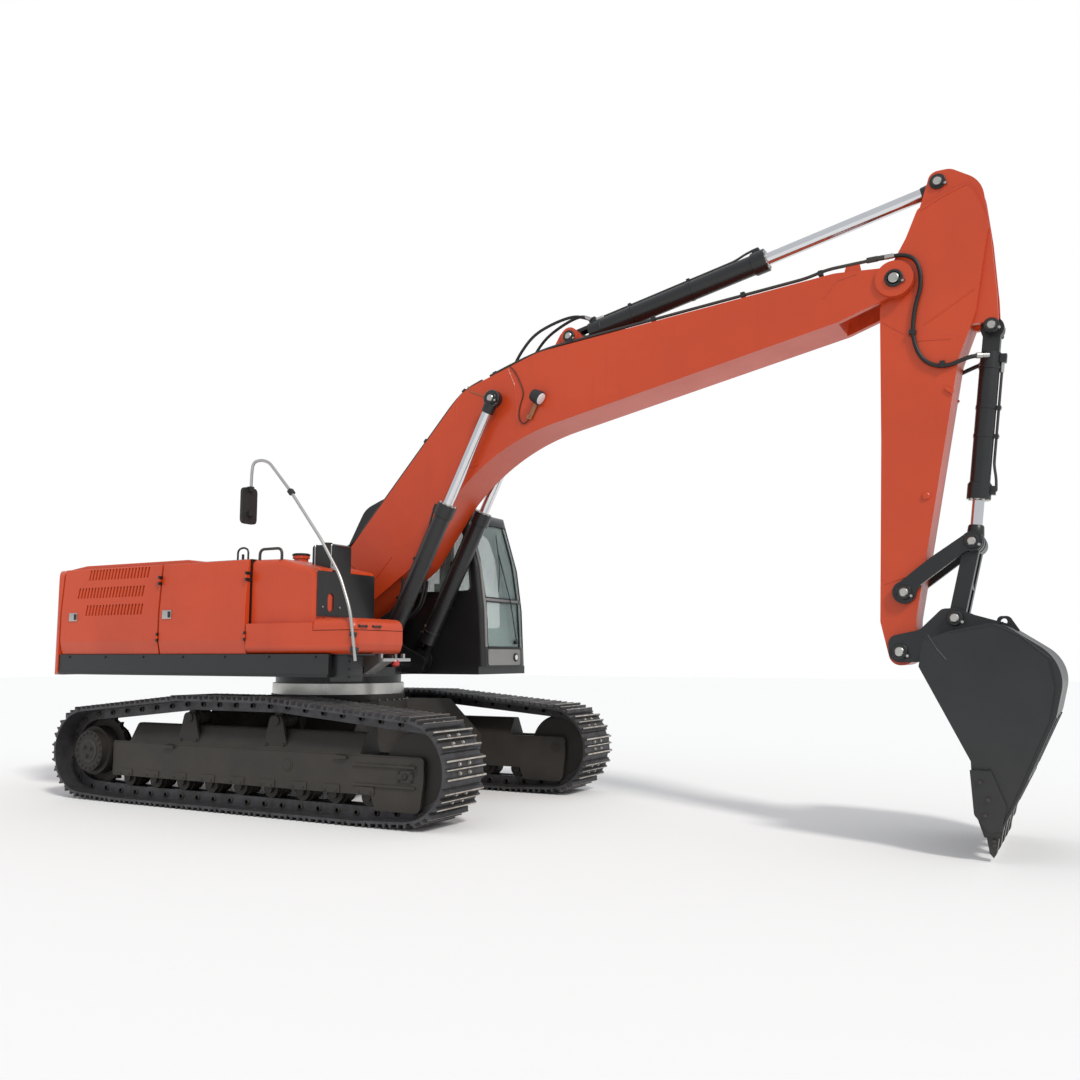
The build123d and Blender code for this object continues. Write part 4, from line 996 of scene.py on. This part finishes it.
# %% Seat cushions
def cushion(name, centre, size, crown, turn=0.0):
    """A padded block: crowned face, drawn-in sides and two channels. Turn: degrees about Y."""
    mesh = bmesh.new()
    half = Vector(size) / 2
    bmesh.ops.create_grid(mesh, x_segments=9, y_segments=9, size=1)
    made = bmesh.ops.extrude_face_region(mesh, geom=mesh.faces[:])
    top = {item for item in made["geom"] if isinstance(item, bmesh.types.BMVert)}
    spin = Matrix.Rotation(math.radians(turn), 3, "Y")
    for corner in mesh.verts:
        a, b = corner.co.x, corner.co.y
        dome = (1 - a ** 4) * (1 - b ** 4)
        pull = 1 - 0.035 * (1 - b * b) * abs(a), 1 - 0.035 * (1 - a * a) * abs(b)
        channel = 0.008 * math.exp(-((abs(a) - 0.55) / 0.07) ** 2) * (1 - b ** 6)
        height = (half.z - crown + crown * dome - channel) if corner in top else -half.z
        corner.co = Vector(centre) + spin @ Vector((a * half.x * pull[0], b * half.y * pull[1], height))
    piece = hand_over(name, mesh, fabric, "house")
    smooth = piece.modifiers.new("round", "SUBSURF")
    smooth.levels = smooth.render_levels = 2
    print(name, "stands on a grid of 9 by 9 and is subdivided twice")


cushion("seat_cushion", (0.50, 1.0, 1.800), (0.50, 0.54, 0.125), 0.030)
cushion("seat_back", (0.205, 1.0, 2.160), (0.60, 0.48, 0.115), 0.030, turn=-81)
cushion("seat_headrest", (0.150, 1.0, 2.595), (0.19, 0.23, 0.085), 0.022, turn=-84)

# %% [markdown]
# Under the cushions stand a base with bellows round its spring, a shell behind
# the back and two rods for the headrest. The solid model has one plain seat;
# these pieces take its place together, so that seat is hidden.

# %% Seat base and rods
mesh = bmesh.new()
slab(mesh, (0.41, 1.0, 1.55), (0.44, 0.46, 0.28), edge=0.03)
slab(mesh, (0.50, 1.0, 1.724), (0.50, 0.54, 0.03), edge=0.012)
slab(mesh, (0.148, 1.0, 2.15), (0.030, 0.46, 0.56), (0, 9, 0), 0.012)
for index in range(7):
    slab(mesh, (0.41, 1.0, 1.45 + index * 0.034), (0.452, 0.472, 0.010))
for y in (0.95, 1.05):
    rod_form(mesh, (0.128, y, 2.42), (0.135, y, 2.56), 0.008)
base = hand_over("seat_base", mesh, plastic, "house")
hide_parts("seat")

# %% [markdown]
# ## Boom and arm
# Both are box beams welded from plate. Seams cross the side plates where thicker
# plates are let in at the foot, the knee and the tip, and run along the lugs of
# the arm cylinder. The beads take the beam's own paint, since they were laid
# before it was painted. A round boss and a small bracket share the arm's mesh.

# %% Weld seams
boom_y, arm_y, lug_y = 0.2352, 0.1702, 0.107  # from the middle to the outer face of each plate
mesh = bmesh.new()
for side in (-1, 1):
    y = side * boom_y
    bead(mesh, [(0.266, y, 2.454), (0.602, y, 2.200), (0.853, y, 2.459)], 0.005)
    bead(mesh, [(5.30, y, 4.44), (5.42, y, 4.57), (5.58, y, 4.60)], 0.005)
    bead(mesh, [(2.227, y, 4.250), (2.30, y, 4.08), (2.33, y, 3.68)], 0.004)
    bead(mesh, [(1.620, y, 3.975), (1.66, y, 3.30), (1.90, y, 3.32)], 0.004)
for y in (-lug_y, lug_y):
    bead(mesh, [(2.62, y, 4.392), (3.04, y, 4.424)], 0.007)
hand_over("boom_seams", mesh, orange, "boom")
mesh = bmesh.new()
for side in (-1, 1):
    y = side * arm_y
    bead(mesh, [(6.083, y, 4.103), (6.467, y, 4.336)], 0.005)
    bead(mesh, [(5.76, y, 4.18), (6.02, y, 3.98), (6.28, y, 3.96)], 0.004)
    bead(mesh, [(5.700, y, 2.02), (5.955, y, 2.10)], 0.005)
    bead(mesh, [(6.10, y, 5.07), (6.26, y, 5.145), (6.44, y, 5.21)], 0.005)
    turned(mesh, (6.042, y * 0.99, 2.709), (0, side, 0), [(0, 0.030), (0.014, 0.030), (0.020, 0.022)], 20)
    slab(mesh, (6.250, y * 1.04, 3.543), (0.080, 0.018, 0.030), (0, 40, 0), 0.004)
hand_over("arm_seams", mesh, orange, "arm")

# %% [markdown]
# Each pin ends in a collar, a bright face and a keeper plate with two screws that
# stops it from turning. Every joint has the same set, scaled to its pin, so one
# helper makes an end, and a table says where the pins are and which body carries
# them.


# %% Pin collars and keepers
def pin_cap(dark, bright, x, z, y, side, radius):
    """The dressed end of a pin: collar, bright face and a bolted keeper."""
    out = (0, side, 0)
    turned(dark, (x, y, z), out,
           [(-0.004, radius * 1.42), (0.010, radius * 1.42), (0.016, radius * 1.30)], 36)
    turned(bright, (x, y + side * 0.010, z), out,
           [(0, radius * 0.80), (0.012, radius * 0.80), (0.018, radius * 0.66)], 32)
    slab(dark, (x + radius * 0.9, y + side * 0.018, z - radius * 0.5),
         (radius * 1.5, 0.012, radius * 0.6), (0, 28, 0), 0.003)
    for share, drop in ((0.45, 0.26), (1.35, 0.26 + 0.52 * (1.35 - 0.45))):
        bolt(bright, (x + radius * share, y + side * 0.023, z - radius * drop), out, 0.018)


pins = [  # body, name, x, z, distance from the middle, radius
    ("boom", "boom_tip", 5.878, 4.503, 0.259, 0.052),
    ("boom", "boom_rod", 2.115, 3.940, 0.376, 0.042),
    ("boom", "arm_base", 2.840, 4.520, 0.119, 0.042),
    ("arm", "arm_head", 6.228, 5.300, 0.131, 0.045),
    ("arm", "bucket_base", 6.576, 4.036, 0.131, 0.042),
    ("arm", "rocker", 5.853, 1.947, 0.222, 0.042),
    ("rockers", "link_top", 6.366, 2.326, 0.222, 0.040),
    ("bucket", "bucket", 5.806, 1.481, 0.238, 0.045),
    ("bucket", "link_low", 6.223, 1.736, 0.267, 0.042),
    ("house", "boom_foot", 0.220, 2.070, 0.324, 0.052),
]
for body, name, x, z, reach, radius in pins:
    dark, bright = bmesh.new(), bmesh.new()
    for side in (-1, 1):
        pin_cap(dark, bright, x, z, side * reach, side, radius)
    hand_over(f"{name}_collars", dark, black, body)
    hand_over(f"{name}_caps", bright, bright_steel, body)

# %% [markdown]
# Hard pipes follow the boom's top: four up its back to the knee, where two feed
# the arm cylinder, and one on each side on to the tip. They are swept tubes along
# one line of X and Z, shared by all pipes of a group, so they stay parallel.

# %% Pipes on the boom
back_line = [(0.42, 2.732), (0.917, 3.276), (1.575, 3.994), (1.720, 4.110), (1.900, 4.176),
             (2.160, 4.258)]
tip_line = [(2.000, 4.218), (2.300, 4.318), (2.640, 4.408), (4.201, 4.560), (5.162, 4.652),
            (5.325, 4.695), (5.848, 4.715)]
outer_pipe_y, inner_pipe_y, tip_pipe_y = 0.185, 0.135, 0.200
mesh = bmesh.new()
for y, radius, last in ((-outer_pipe_y, 0.016, 5), (-inner_pipe_y, 0.019, 6),
                        (inner_pipe_y, 0.019, 6), (outer_pipe_y, 0.016, 5)):
    pipe(mesh, [(x, y, z + 0.012) for x, z in back_line[:last]], radius, 0.25, 12, steps=8)
for side in (-1, 1):
    pipe(mesh, [(x, side * tip_pipe_y, z) for x, z in tip_line], 0.014, 0.2, 12, steps=6)
hand_over("boom_pipes", mesh, dark_steel, "boom")

# %% [markdown]
# Clamps hold the pipes about every metre: a block over each pair behind the
# knee, a smaller one over each single pipe before it, and a bolt through each.
# The blocks lean as the plate under them does.

# %% Pipe clamps
mesh, bolts = bmesh.new(), bmesh.new()
for x, z, lean in ((0.66, 3.000, -48), (1.24, 3.630, -48), (1.70, 4.096, -38), (2.06, 4.230, -20)):
    slope = math.radians(lean)
    for y in (-0.160, 0.160):
        slab(mesh, (x, y, z), (0.045, 0.105, 0.052), (0, lean, 0), 0.005)
        bolt(bolts, (x + 0.02 * math.sin(slope), y, z + 0.024), (math.sin(slope), 0, 1), 0.018)
for x, z in ((2.90, 4.440), (3.75, 4.520), (4.60, 4.602), (5.28, 4.672)):
    for side in (-1, 1):
        slab(mesh, (x, side * tip_pipe_y, z), (0.040, 0.046, 0.044), (0, -5, 0), 0.005)
        bolt(bolts, (x, side * tip_pipe_y, z + 0.020), (0, 0, 1), 0.016)
hand_over("boom_pipe_clamps", mesh, black, "boom")
hand_over("boom_clamp_bolts", bolts, bright_steel, "boom")

# %% [markdown]
# Near a joint the pipes end in fittings and hoses take over, because only a hose
# can bend. At the tip each side has a bracket on edge, a union with its nut and
# the bright ferrule that is pressed on the hose.

# %% Fittings at the boom's tip
union_z = 4.714
mesh = bmesh.new()
for side in (-1, 1):
    plate(mesh, [(5.46, 4.60, 0.0), (5.62, 4.60, 0.0), (5.60, 4.715, 0.03), (5.50, 4.715, 0.03)],
          side * tip_pipe_y - 0.005, side * tip_pipe_y + 0.005)
hand_over("boom_tip_brackets", mesh, orange, "boom")
mesh = bmesh.new()
for side in (-1, 1):
    rod_form(mesh, (5.66, side * tip_pipe_y, 4.712), (5.75, side * tip_pipe_y, union_z), 0.024, 0.004)
    turned(mesh, (5.75, side * tip_pipe_y, union_z), (1, 0, 0),
           [(0, 0.021), (0.05, 0.021), (0.055, 0.018)], 6)
hand_over("boom_tip_unions", mesh, dark_steel, "boom")
mesh = bmesh.new()
for side in (-1, 1):
    turned(mesh, (5.805, side * tip_pipe_y, union_z), (1, 0, 0),
           [(0, 0.021), (0.025, 0.023), (0.045, 0.020), (0.055, 0.022), (0.075, 0.018)], 18)
hand_over("boom_tip_fittings", mesh, silver, "boom")

# %% [markdown]
# ## Hoses
# A pressure hose is a fixed length that leaves its fitting straight and hangs in
# one smooth bow. Its line is a NURBS curve led by a handful of guide points. The
# tube is swept along the points read from that curve. A hose that spans a joint
# rides on no body and stays where it is laid.


# %% Helper: hoses
def hose(name, route, diameter, body, joins=None):
    """A hose along a smooth line of guide points. Joins: second body, start and end of the bend; a hose
    that has it rides on no body and stays where it is laid.
    """
    curve = bpy.data.curves.new(name + "_line", "CURVE")
    curve.dimensions = "3D"
    curve.resolution_u = 10
    spline = curve.splines.new("NURBS")
    spline.points.add(len(route) - 1)
    for point, spot in zip(spline.points, route):
        point.co = (*spot, 1)
    spline.order_u = 3
    spline.use_endpoint_u = True
    line = bpy.data.objects.new(name + "_line", curve)
    bpy.context.collection.objects.link(line)
    bpy.context.view_layer.update()
    read = bpy.data.meshes.new_from_object(line)
    path = [corner.co.copy() for corner in read.vertices]
    bpy.data.objects.remove(line)
    mesh = bmesh.new()
    pipe(mesh, path, diameter / 2, 0, 12, steps=1)
    bmesh.ops.remove_doubles(mesh, verts=mesh.verts, dist=0.0002)
    bmesh.ops.recalc_face_normals(mesh, faces=mesh.faces)
    data = bpy.data.meshes.new(name)
    mesh.to_mesh(data)
    mesh.free()
    data.shade_smooth()
    data.set_sharp_from_angle(angle=math.radians(50))
    data.materials.append(rubber)
    piece = bpy.data.objects.new(name, data)
    bpy.context.collection.objects.link(piece)
    if joins:
        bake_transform(piece)
    else:
        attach(piece, body)


print("the hose helper is ready")

# %% [markdown]
# From the boom's tip one hose on each side loops round the pin and down the arm,
# then turns in to the bucket cylinder. The slack in the loop is what lets the arm
# fold. Ferrules close its far end, and two clamps hold it on the arm.

# %% Hoses of the arm
for side, word in ((-1, "right"), (1, "left")):
    y = side * tip_pipe_y
    hose(f"arm_hose_{word}", [
        (5.880, side * 0.193, 4.714), (5.960, y, 4.712), (6.060, y, 4.640), (6.085, side * 0.196, 4.440),
        (6.015, side * 0.192, 4.240), (5.990, side * 0.190, 4.000), (6.060, side * 0.190, 3.800),
        (6.220, side * 0.188, 3.725), (6.400, side * 0.175, 3.790), (6.470, side * 0.145, 3.802),
        (6.532, side * 0.102, 3.806),
    ], 0.034, "boom", ("arm", (5.96, 0, 4.70), (6.03, 0, 4.25)))
mesh = bmesh.new()
for side in (-1, 1):
    rod_form(mesh, (6.455, side * 0.151, 3.801), (6.500, side * 0.124, 3.804), 0.023, 0.004)
    rod_form(mesh, (6.496, side * 0.127, 3.804), (6.545, side * 0.092, 3.808), 0.0195, 0.004)
hand_over("arm_hose_fittings", mesh, silver, "arm")
mesh = bmesh.new()
for side in (-1, 1):
    slab(mesh, (5.995, side * 0.186, 4.050), (0.055, 0.046, 0.04), (0, 10, 0), 0.006)
    slab(mesh, (6.210, side * 0.186, 3.755), (0.04, 0.046, 0.055), edge=0.006)
hand_over("arm_hose_clamps", mesh, black, "arm")

# %% [markdown]
# The two inner pipes stop at the boom's knee. From there two hoses stand up in an
# arch and come down on the head of the arm cylinder, which tilts a little as it
# works. One arch is 30 mm higher, so the two don't rub.

# %% Hoses from the boom pipes to the arm cylinder
for index, (y, rise) in enumerate(((-inner_pipe_y, 0.0), (inner_pipe_y, 0.03))):
    hose(f"cylinder_hose_{index + 1}", [
        (2.160, y, 4.268), (2.230, y, 4.292), (2.310, y * 0.98, 4.430 + rise),
        (2.450, y * 0.9, 4.590 + rise), (2.640, y * 0.7, 4.680 + rise), (2.840, y * 0.45, 4.735 + rise),
        (2.960, y * 0.3, 4.715 + rise), (3.033, y * 0.20, 4.680),
    ], 0.030, "boom", ("arm_barrel", (2.35, 0, 4.50), (2.95, 0, 4.70)))
mesh = bmesh.new()
for y, lift in ((-0.030, 0.0), (0.030, 0.006)):
    rod_form(mesh, (2.975, y * 1.1, 4.712 + lift), (3.036, y, 4.684), 0.020, 0.004)
hand_over("arm_cylinder_unions", mesh, silver, "arm_barrel")
mesh = bmesh.new()
for y in (-inner_pipe_y, inner_pipe_y):
    rod_form(mesh, (2.120, y, 4.255), (2.195, y, 4.280), 0.022, 0.004)
hand_over("boom_pipe_unions", mesh, silver, "boom")

# %% [markdown]
# The oil for the whole boom comes up from the deck behind its foot. Four hoses
# rise from a manifold block and bend over the foot pin to the pipes.

# %% Hoses over the boom foot
deck_z = 1.366
foot_rows = ((-outer_pipe_y, 0.0), (-inner_pipe_y, 0.03), (inner_pipe_y, 0.03), (outer_pipe_y, 0.0))
for index, (y, shift) in enumerate(foot_rows):
    hose(f"foot_hose_{index + 1}", [
        (-0.300, y, deck_z), (-0.310, y, 1.700), (-0.330 - shift, y, 2.100), (-0.200 - shift, y, 2.420),
        (0.060, y, 2.560), (0.270, y, 2.590), (0.420, y, 2.744),
    ], 0.032, "house", ("boom", (-0.30, 0, 2.05), (0.25, 0, 2.58)))
mesh = bmesh.new()
slab(mesh, (-0.30, 0, 1.375), (0.20, 0.44, 0.07), edge=0.012)
for y, _ in foot_rows:
    turned(mesh, (-0.300, y, 1.400), (0, 0, 1),
           [(0, 0.026), (0.03, 0.026), (0.04, 0.021), (0.06, 0.020)], 6)
hand_over("hose_manifold", mesh, dark_steel, "house")

# %% [markdown]
# The boom lamp is a black round housing with a pale lens on a bent bracket. It
# looks forward and down to the bucket, so the housing and the lens are turned
# about one and the same slanting axis.

# %% Boom lamp
lamp_aim = (0.85, 0, -0.53)
mesh = bmesh.new()
turned(mesh, (2.585, -0.300, 3.915), lamp_aim,
       [(-0.055, 0.040), (-0.050, 0.056), (0.010, 0.068), (0.045, 0.070), (0.052, 0.064)], 32)
slab(mesh, (2.560, -0.262, 3.905), (0.085, 0.055, 0.085), (0, 32, 0), 0.01)
hand_over("boom_lamp_shell", mesh, plastic, "boom")
mesh = bmesh.new()
turned(mesh, (2.6285, -0.300, 3.888), lamp_aim,
       [(0, 0.058), (0.006, 0.056), (0.012, 0.040), (0.014, 0.01)], 32)
hand_over("boom_lamp_lens", mesh, lamp_clear, "boom")
mesh = bmesh.new()
slab(mesh, (2.520, -0.246, 3.800), (0.040, 0.022, 0.150), (0, 26, 0), 0.005)
slab(mesh, (2.482, -0.252, 3.735), (0.055, 0.034, 0.040), (0, 26, 0), 0.005)
bolt(mesh, (2.482, -0.268, 3.735), (0, -1, 0), 0.020)
hand_over("boom_lamp_bracket", mesh, copper, "boom")

# %% [markdown]
# A thin cable comes down to the lamp from the top plate in one loose bow: it is a
# hose of 9 mm to the helper. The grease line beside the rod pin is a hard copper
# tube that was bent by hand, so it is a swept pipe.

# %% Lamp cable and grease line
hose("lamp_cable", [
    (2.230, -0.226, 4.288), (2.262, -0.243, 4.262), (2.318, -0.242, 4.200), (2.375, -0.242, 4.080),
    (2.412, -0.242, 3.980), (2.362, -0.242, 3.860), (2.350, -0.242, 3.740), (2.400, -0.244, 3.672),
    (2.450, -0.248, 3.700), (2.478, -0.252, 3.722),
], 0.009, "boom")
mesh = bmesh.new()
pipe(mesh, [(1.760, -0.236, 4.135), (1.800, -0.238, 4.075), (1.943, -0.238, 4.017),
            (2.040, -0.244, 3.975)], 0.005, 0.03, 8)
hand_over("grease_line", mesh, copper, "boom")

# %% [markdown]
# ## Cylinders
# A cylinder is a dark barrel with a heavier gland at its mouth and a bright rod.
# What makes it read as one are the gland's ring of bolts, the port block at each
# end and the thin steel tube that feeds the far port, held by two bands.

# %% Barrels, glands and rod eyes
lift_base, lift_tip = (0.820, 1.420), (2.115, 3.940)
cylinders = [  # name, barrel's body, rod's body, base pin, rod pin, y, length, radius, eye half width
    ("boom_right", "boom_barrel_right", "boom_rod_right", lift_base, lift_tip,
     -0.335, 1.700, 0.084, 0.036),
    ("boom_left", "boom_barrel_left", "boom_rod_left", lift_base, lift_tip,
     0.335, 1.700, 0.084, 0.036),
    ("arm", "arm_barrel", "arm_rod", (2.840, 4.520), (6.228, 5.300), 0.0, 1.975, 0.090, 0.052),
    ("bucket", "bucket_barrel", "bucket_rod", (6.576, 4.036), (6.366, 2.326),
     0.0, 1.368, 0.076, 0.052),
]
for name, barrel, rod, base, tip, y, long, tube, eye in cylinders:
    along = Vector((tip[0] - base[0], 0, tip[1] - base[1])).normalized()
    rise = Vector((-along.z, 0, along.x))
    lean = -math.degrees(math.atan2(along.z, along.x))
    foot = Vector((base[0], y, base[1]))

    def at(distance, height=0.0, across=0.0):
        """A place along the cylinder, off its axis and across the machine."""
        return foot + along * distance + rise * height + Vector((0, across, 0))

    def band(spot, low, high, width, edge):
        """A ring round the barrel that stands off it by low at its rims and high between."""
        turned(dark, at(spot), along, [(0, tube + low), (edge, tube + high), (width - edge, tube + high),
                                       (width, tube + low)], 40)

    dark, steel, tubes = bmesh.new(), bmesh.new(), bmesh.new()

    # the gland: two rings, a circle of bolts and the wiper ring round the rod
    for spot in (0.30, long - 0.135):
        band(spot, 0.001, 0.006, 0.026, 0.004)
    for step in range(10):
        angle = 2 * math.pi * step / 10 + 0.3
        ring = rise * math.cos(angle) + Vector((0, math.sin(angle), 0))
        bolt(steel, at(long - 0.001) + ring * (tube - 0.004), along, 0.020)
    turned(steel, at(long - 0.002), along,
           [(0, tube * 0.80), (0.008, tube * 0.80), (0.014, tube * 0.72)], 36)
    # the port blocks, the tube to the far port and the two bands that hold it
    for spot in (0.235, long - 0.075):
        slab(dark, at(spot, tube + 0.020), (0.07, 0.06, 0.050), (0, lean, 0), 0.006)
    feed = [at(long - 0.075, tube + 0.030), at(long - 0.075, tube + 0.047), at(long - 0.17, tube + 0.040),
            at(long - 0.28, tube + 0.016), at(0.62, tube + 0.016), at(0.34, tube + 0.016)]
    pipe(tubes, feed, 0.011, 0.04, 10)
    for spot in (0.62, long * 0.62):
        band(spot, 0.001, 0.004, 0.028, 0.001)
        slab(dark, at(spot + 0.014, tube + 0.016), (0.032, 0.046, 0.034), (0, lean, 0))
        bolt(steel, at(spot + 0.014, tube + 0.032), rise, 0.014)
    rod_form(steel, at(0.350, tube + 0.016), at(0.262, tube + 0.016), 0.016, 0.003)
    bolt(steel, at(0.0, 0.086), rise, 0.016)
    hand_over(f"{name}_cylinder_bands", dark, black, barrel)
    hand_over(f"{name}_cylinder_bolts", steel, bright_steel, barrel)
    hand_over(f"{name}_cylinder_tube", tubes, dark_steel, barrel)
    # the painted eye over the rod's own
    mesh = bmesh.new()
    reach = (Vector((tip[0], 0, tip[1])) - Vector((base[0], 0, base[1]))).length
    turned(mesh, at(reach, 0, -eye - 0.0015), (0, 1, 0),
           [(0, 0.080), (0.003, 0.0865), (2 * eye, 0.0865), (2 * eye + 0.003, 0.080)], 40)
    turned(mesh, at(reach - 0.150), along, [(0, 0.052), (0.010, 0.060), (0.085, 0.066), (0.10, 0.06)], 32)
    hand_over(f"{name}_rod_eye", mesh, black, rod)

# %% [markdown]
# Between the boom cylinders, four more hoses rise from a block on the deck.
# Silver sockets and copper-coloured ends make them stand out against the black
# frame. They bend in their upper half.

# %% Hoses at the cylinder feet
socket_x, socket_gap, row_gap = 0.52, 0.07, 0.055
mesh, ends = bmesh.new(), bmesh.new()
for side in (-1, 1):
    for index in range(2):
        x, y = socket_x + socket_gap * index, side * (0.150 + row_gap * index)
        rod_form(mesh, (x, y, 1.375), (x, y, 1.470), 0.021, 0.004)
        rod_form(ends, (x, y, 1.465), (x + 0.004, y, 1.560), 0.0185, 0.003)
slab(mesh, (0.555, 0, 1.358), (0.15, 0.47, 0.04), edge=0.008)
hand_over("foot_elbows", mesh, silver, "house")
hand_over("foot_hose_ends", ends, copper, "house")
for side, word in ((-1, "right"), (1, "left")):
    for index in range(2):
        x, y = socket_x + socket_gap * index, side * (0.160 + row_gap * index)
        hose(f"lift_hose_{word}_{index + 1}", [
            (x, y, deck_z), (x + 0.004, y, 1.620), (0.640, y, 1.800),
            (0.820, y, 1.880), (0.960, y, 2.020), (0.985, y, 2.238),
        ], 0.028, "house", ("boom", (0.62, 0, 1.74), (0.97, 0, 2.12)))

# %% [markdown]
# ## Bucket
# The bucket is black plate over a curved shell. Seams run where the side plates
# meet the wrapper, along the side cutters and at the foot of each ear.

# %% Bucket seams
side_line = [(6.250, 1.640), (6.560, 1.690), (6.720, 1.610), (6.900, 1.450), (6.930, 1.250),
             (6.885, 1.020), (6.800, 0.830), (6.690, 0.580), (6.530, 0.250)]
mesh = bmesh.new()
for side in (-1, 1):
    y = side * 0.7005
    bead(mesh, [(x - 0.020, y, z - 0.020) for x, z in side_line])
    bead(mesh, [(6.083, y, 1.600), (6.140, y, 1.500), (6.205, y, 1.418)], 0.004)
    bead(mesh, [(6.345, side * 0.701, 0.655), (6.465, side * 0.701, 0.655)])
    for sign in (-1, 1):
        ear_y = side * 0.211 + sign * 0.027
        bead(mesh, [(6.010, ear_y, 1.470), (6.240, ear_y, 1.640), (6.560, ear_y, 1.698)], 0.007)
hand_over("bucket_seams", mesh, tool_black, "bucket")

# %% [markdown]
# The cutters are bolted to the sides, and a pin with a head holds each tooth on
# its adapter, so that a worn tooth can be knocked off in the field.

# %% Cutter bolts and tooth pins
tooth_count, first_tooth_y, tooth_pitch = 5, -0.600, 0.300
bolts = bmesh.new()
for side in (-1, 1):
    for x, z in ((6.395, 0.56), (6.445, 0.44), (6.420, 0.33)):
        bolt(bolts, (x, side * 0.718, z), (0, side, 0), 0.034)
for index in range(tooth_count):
    y = first_tooth_y + index * tooth_pitch
    for side in (-1, 1):
        turned(bolts, (6.462, y + side * 0.064, 0.150), (0, side, 0),
               [(-0.004, 0.014), (0.004, 0.014), (0.006, 0.010)], 14)
    turned(bolts, (6.462, y - 0.056, 0.120), (0, -1, 0),
           [(-0.004, 0.013), (0.002, 0.013), (0.004, 0.009)], 14)
hand_over("bucket_bolts", bolts, dark_steel, "bucket")

# %% [markdown]
# Three wear straps cross the bucket's back, each of two flat bars, because the
# shell bends between them. A bar's length and lean follow from its two ends.

# %% Wear straps
mesh = bmesh.new()
for y in (-0.45, 0.0, 0.45):
    for top, low in (((6.895, 1.010), (6.712, 0.620)), ((6.690, 0.570), (6.560, 0.318))):
        middle = Vector(((top[0] + low[0]) / 2, y, (top[1] + low[1]) / 2))
        lean = math.degrees(math.atan2(top[0] - low[0], top[1] - low[1]))
        slab(mesh, middle + Vector((0.001, 0, 0)), (0.016, 0.10, math.dist(top, low)), (0, lean, 0))
hand_over("wear_straps", mesh, tool_black, "bucket")

# %% [markdown]
# ## Floor and light
# The machine stands on one wide pale sheet that takes its shadow. Its colour is
# a light grey: pure white would clip and swallow the shadow's soft edge.

# %% Floor
half = 60
floor_mesh = bpy.data.meshes.new("floor")
floor_mesh.from_pydata([(-half, -half, 0), (half, -half, 0), (half, half, 0), (-half, half, 0)], [],
                       [(0, 1, 2, 3)])
floor = bpy.data.objects.new("floor", floor_mesh)
bpy.context.collection.objects.link(floor)
pale = bpy.data.materials.new("pale_floor")
pale.use_nodes = True
pale_shader = pale.node_tree.nodes["Principled BSDF"]
pale_shader.inputs["Base Color"].default_value = (0.90, 0.90, 0.90, 1)
pale_shader.inputs["Roughness"].default_value = 0.95
floor_mesh.materials.append(pale)
print("floor spans", floor.dimensions.x, "m")

# %% [markdown]
# The light is a soft studio sky and one wide, mild sun from the machine's front
# right. Rays from the camera, and those that pass through the glass, see the sky
# as plain white instead, so the background is pale without any more light on
# the machine.

# %% Light
world = bpy.data.worlds.new("studio")
bpy.context.scene.world = world
world.use_nodes = True
tree = world.node_tree
sky = tree.nodes["Background"]
sky.inputs["Color"].default_value = (0.94, 0.97, 1.0, 1)
sky.inputs["Strength"].default_value = 0.72
seen = tree.nodes.new("ShaderNodeBackground")
seen.inputs["Color"].default_value = (1, 1, 1, 1)
seen.inputs["Strength"].default_value = 1.0
rays = tree.nodes.new("ShaderNodeLightPath")
either = tree.nodes.new("ShaderNodeMath")
either.operation = "MAXIMUM"
tree.links.new(rays.outputs["Is Camera Ray"], either.inputs[0])
tree.links.new(rays.outputs["Is Transmission Ray"], either.inputs[1])
choose = tree.nodes.new("ShaderNodeMixShader")
tree.links.new(either.outputs["Value"], choose.inputs["Fac"])
tree.links.new(sky.outputs["Background"], choose.inputs[1])
tree.links.new(seen.outputs["Background"], choose.inputs[2])
tree.links.new(choose.outputs["Shader"], tree.nodes["World Output"].inputs["Surface"])

key_data = bpy.data.lights.new("key", "SUN")
key_data.energy = 1.9
key_data.angle = math.radians(9)
key_data.color = (1.0, 0.97, 0.92)
key = bpy.data.objects.new("key", key_data)
key.rotation_euler = (math.radians(48), math.radians(8), math.radians(52))
bpy.context.collection.objects.link(key)
print("sky", sky.inputs["Strength"].default_value, "key", key_data.energy)

# %% [markdown]
# At the end the view layer is brought up to date.

# %% Finish
bpy.context.view_layer.update()
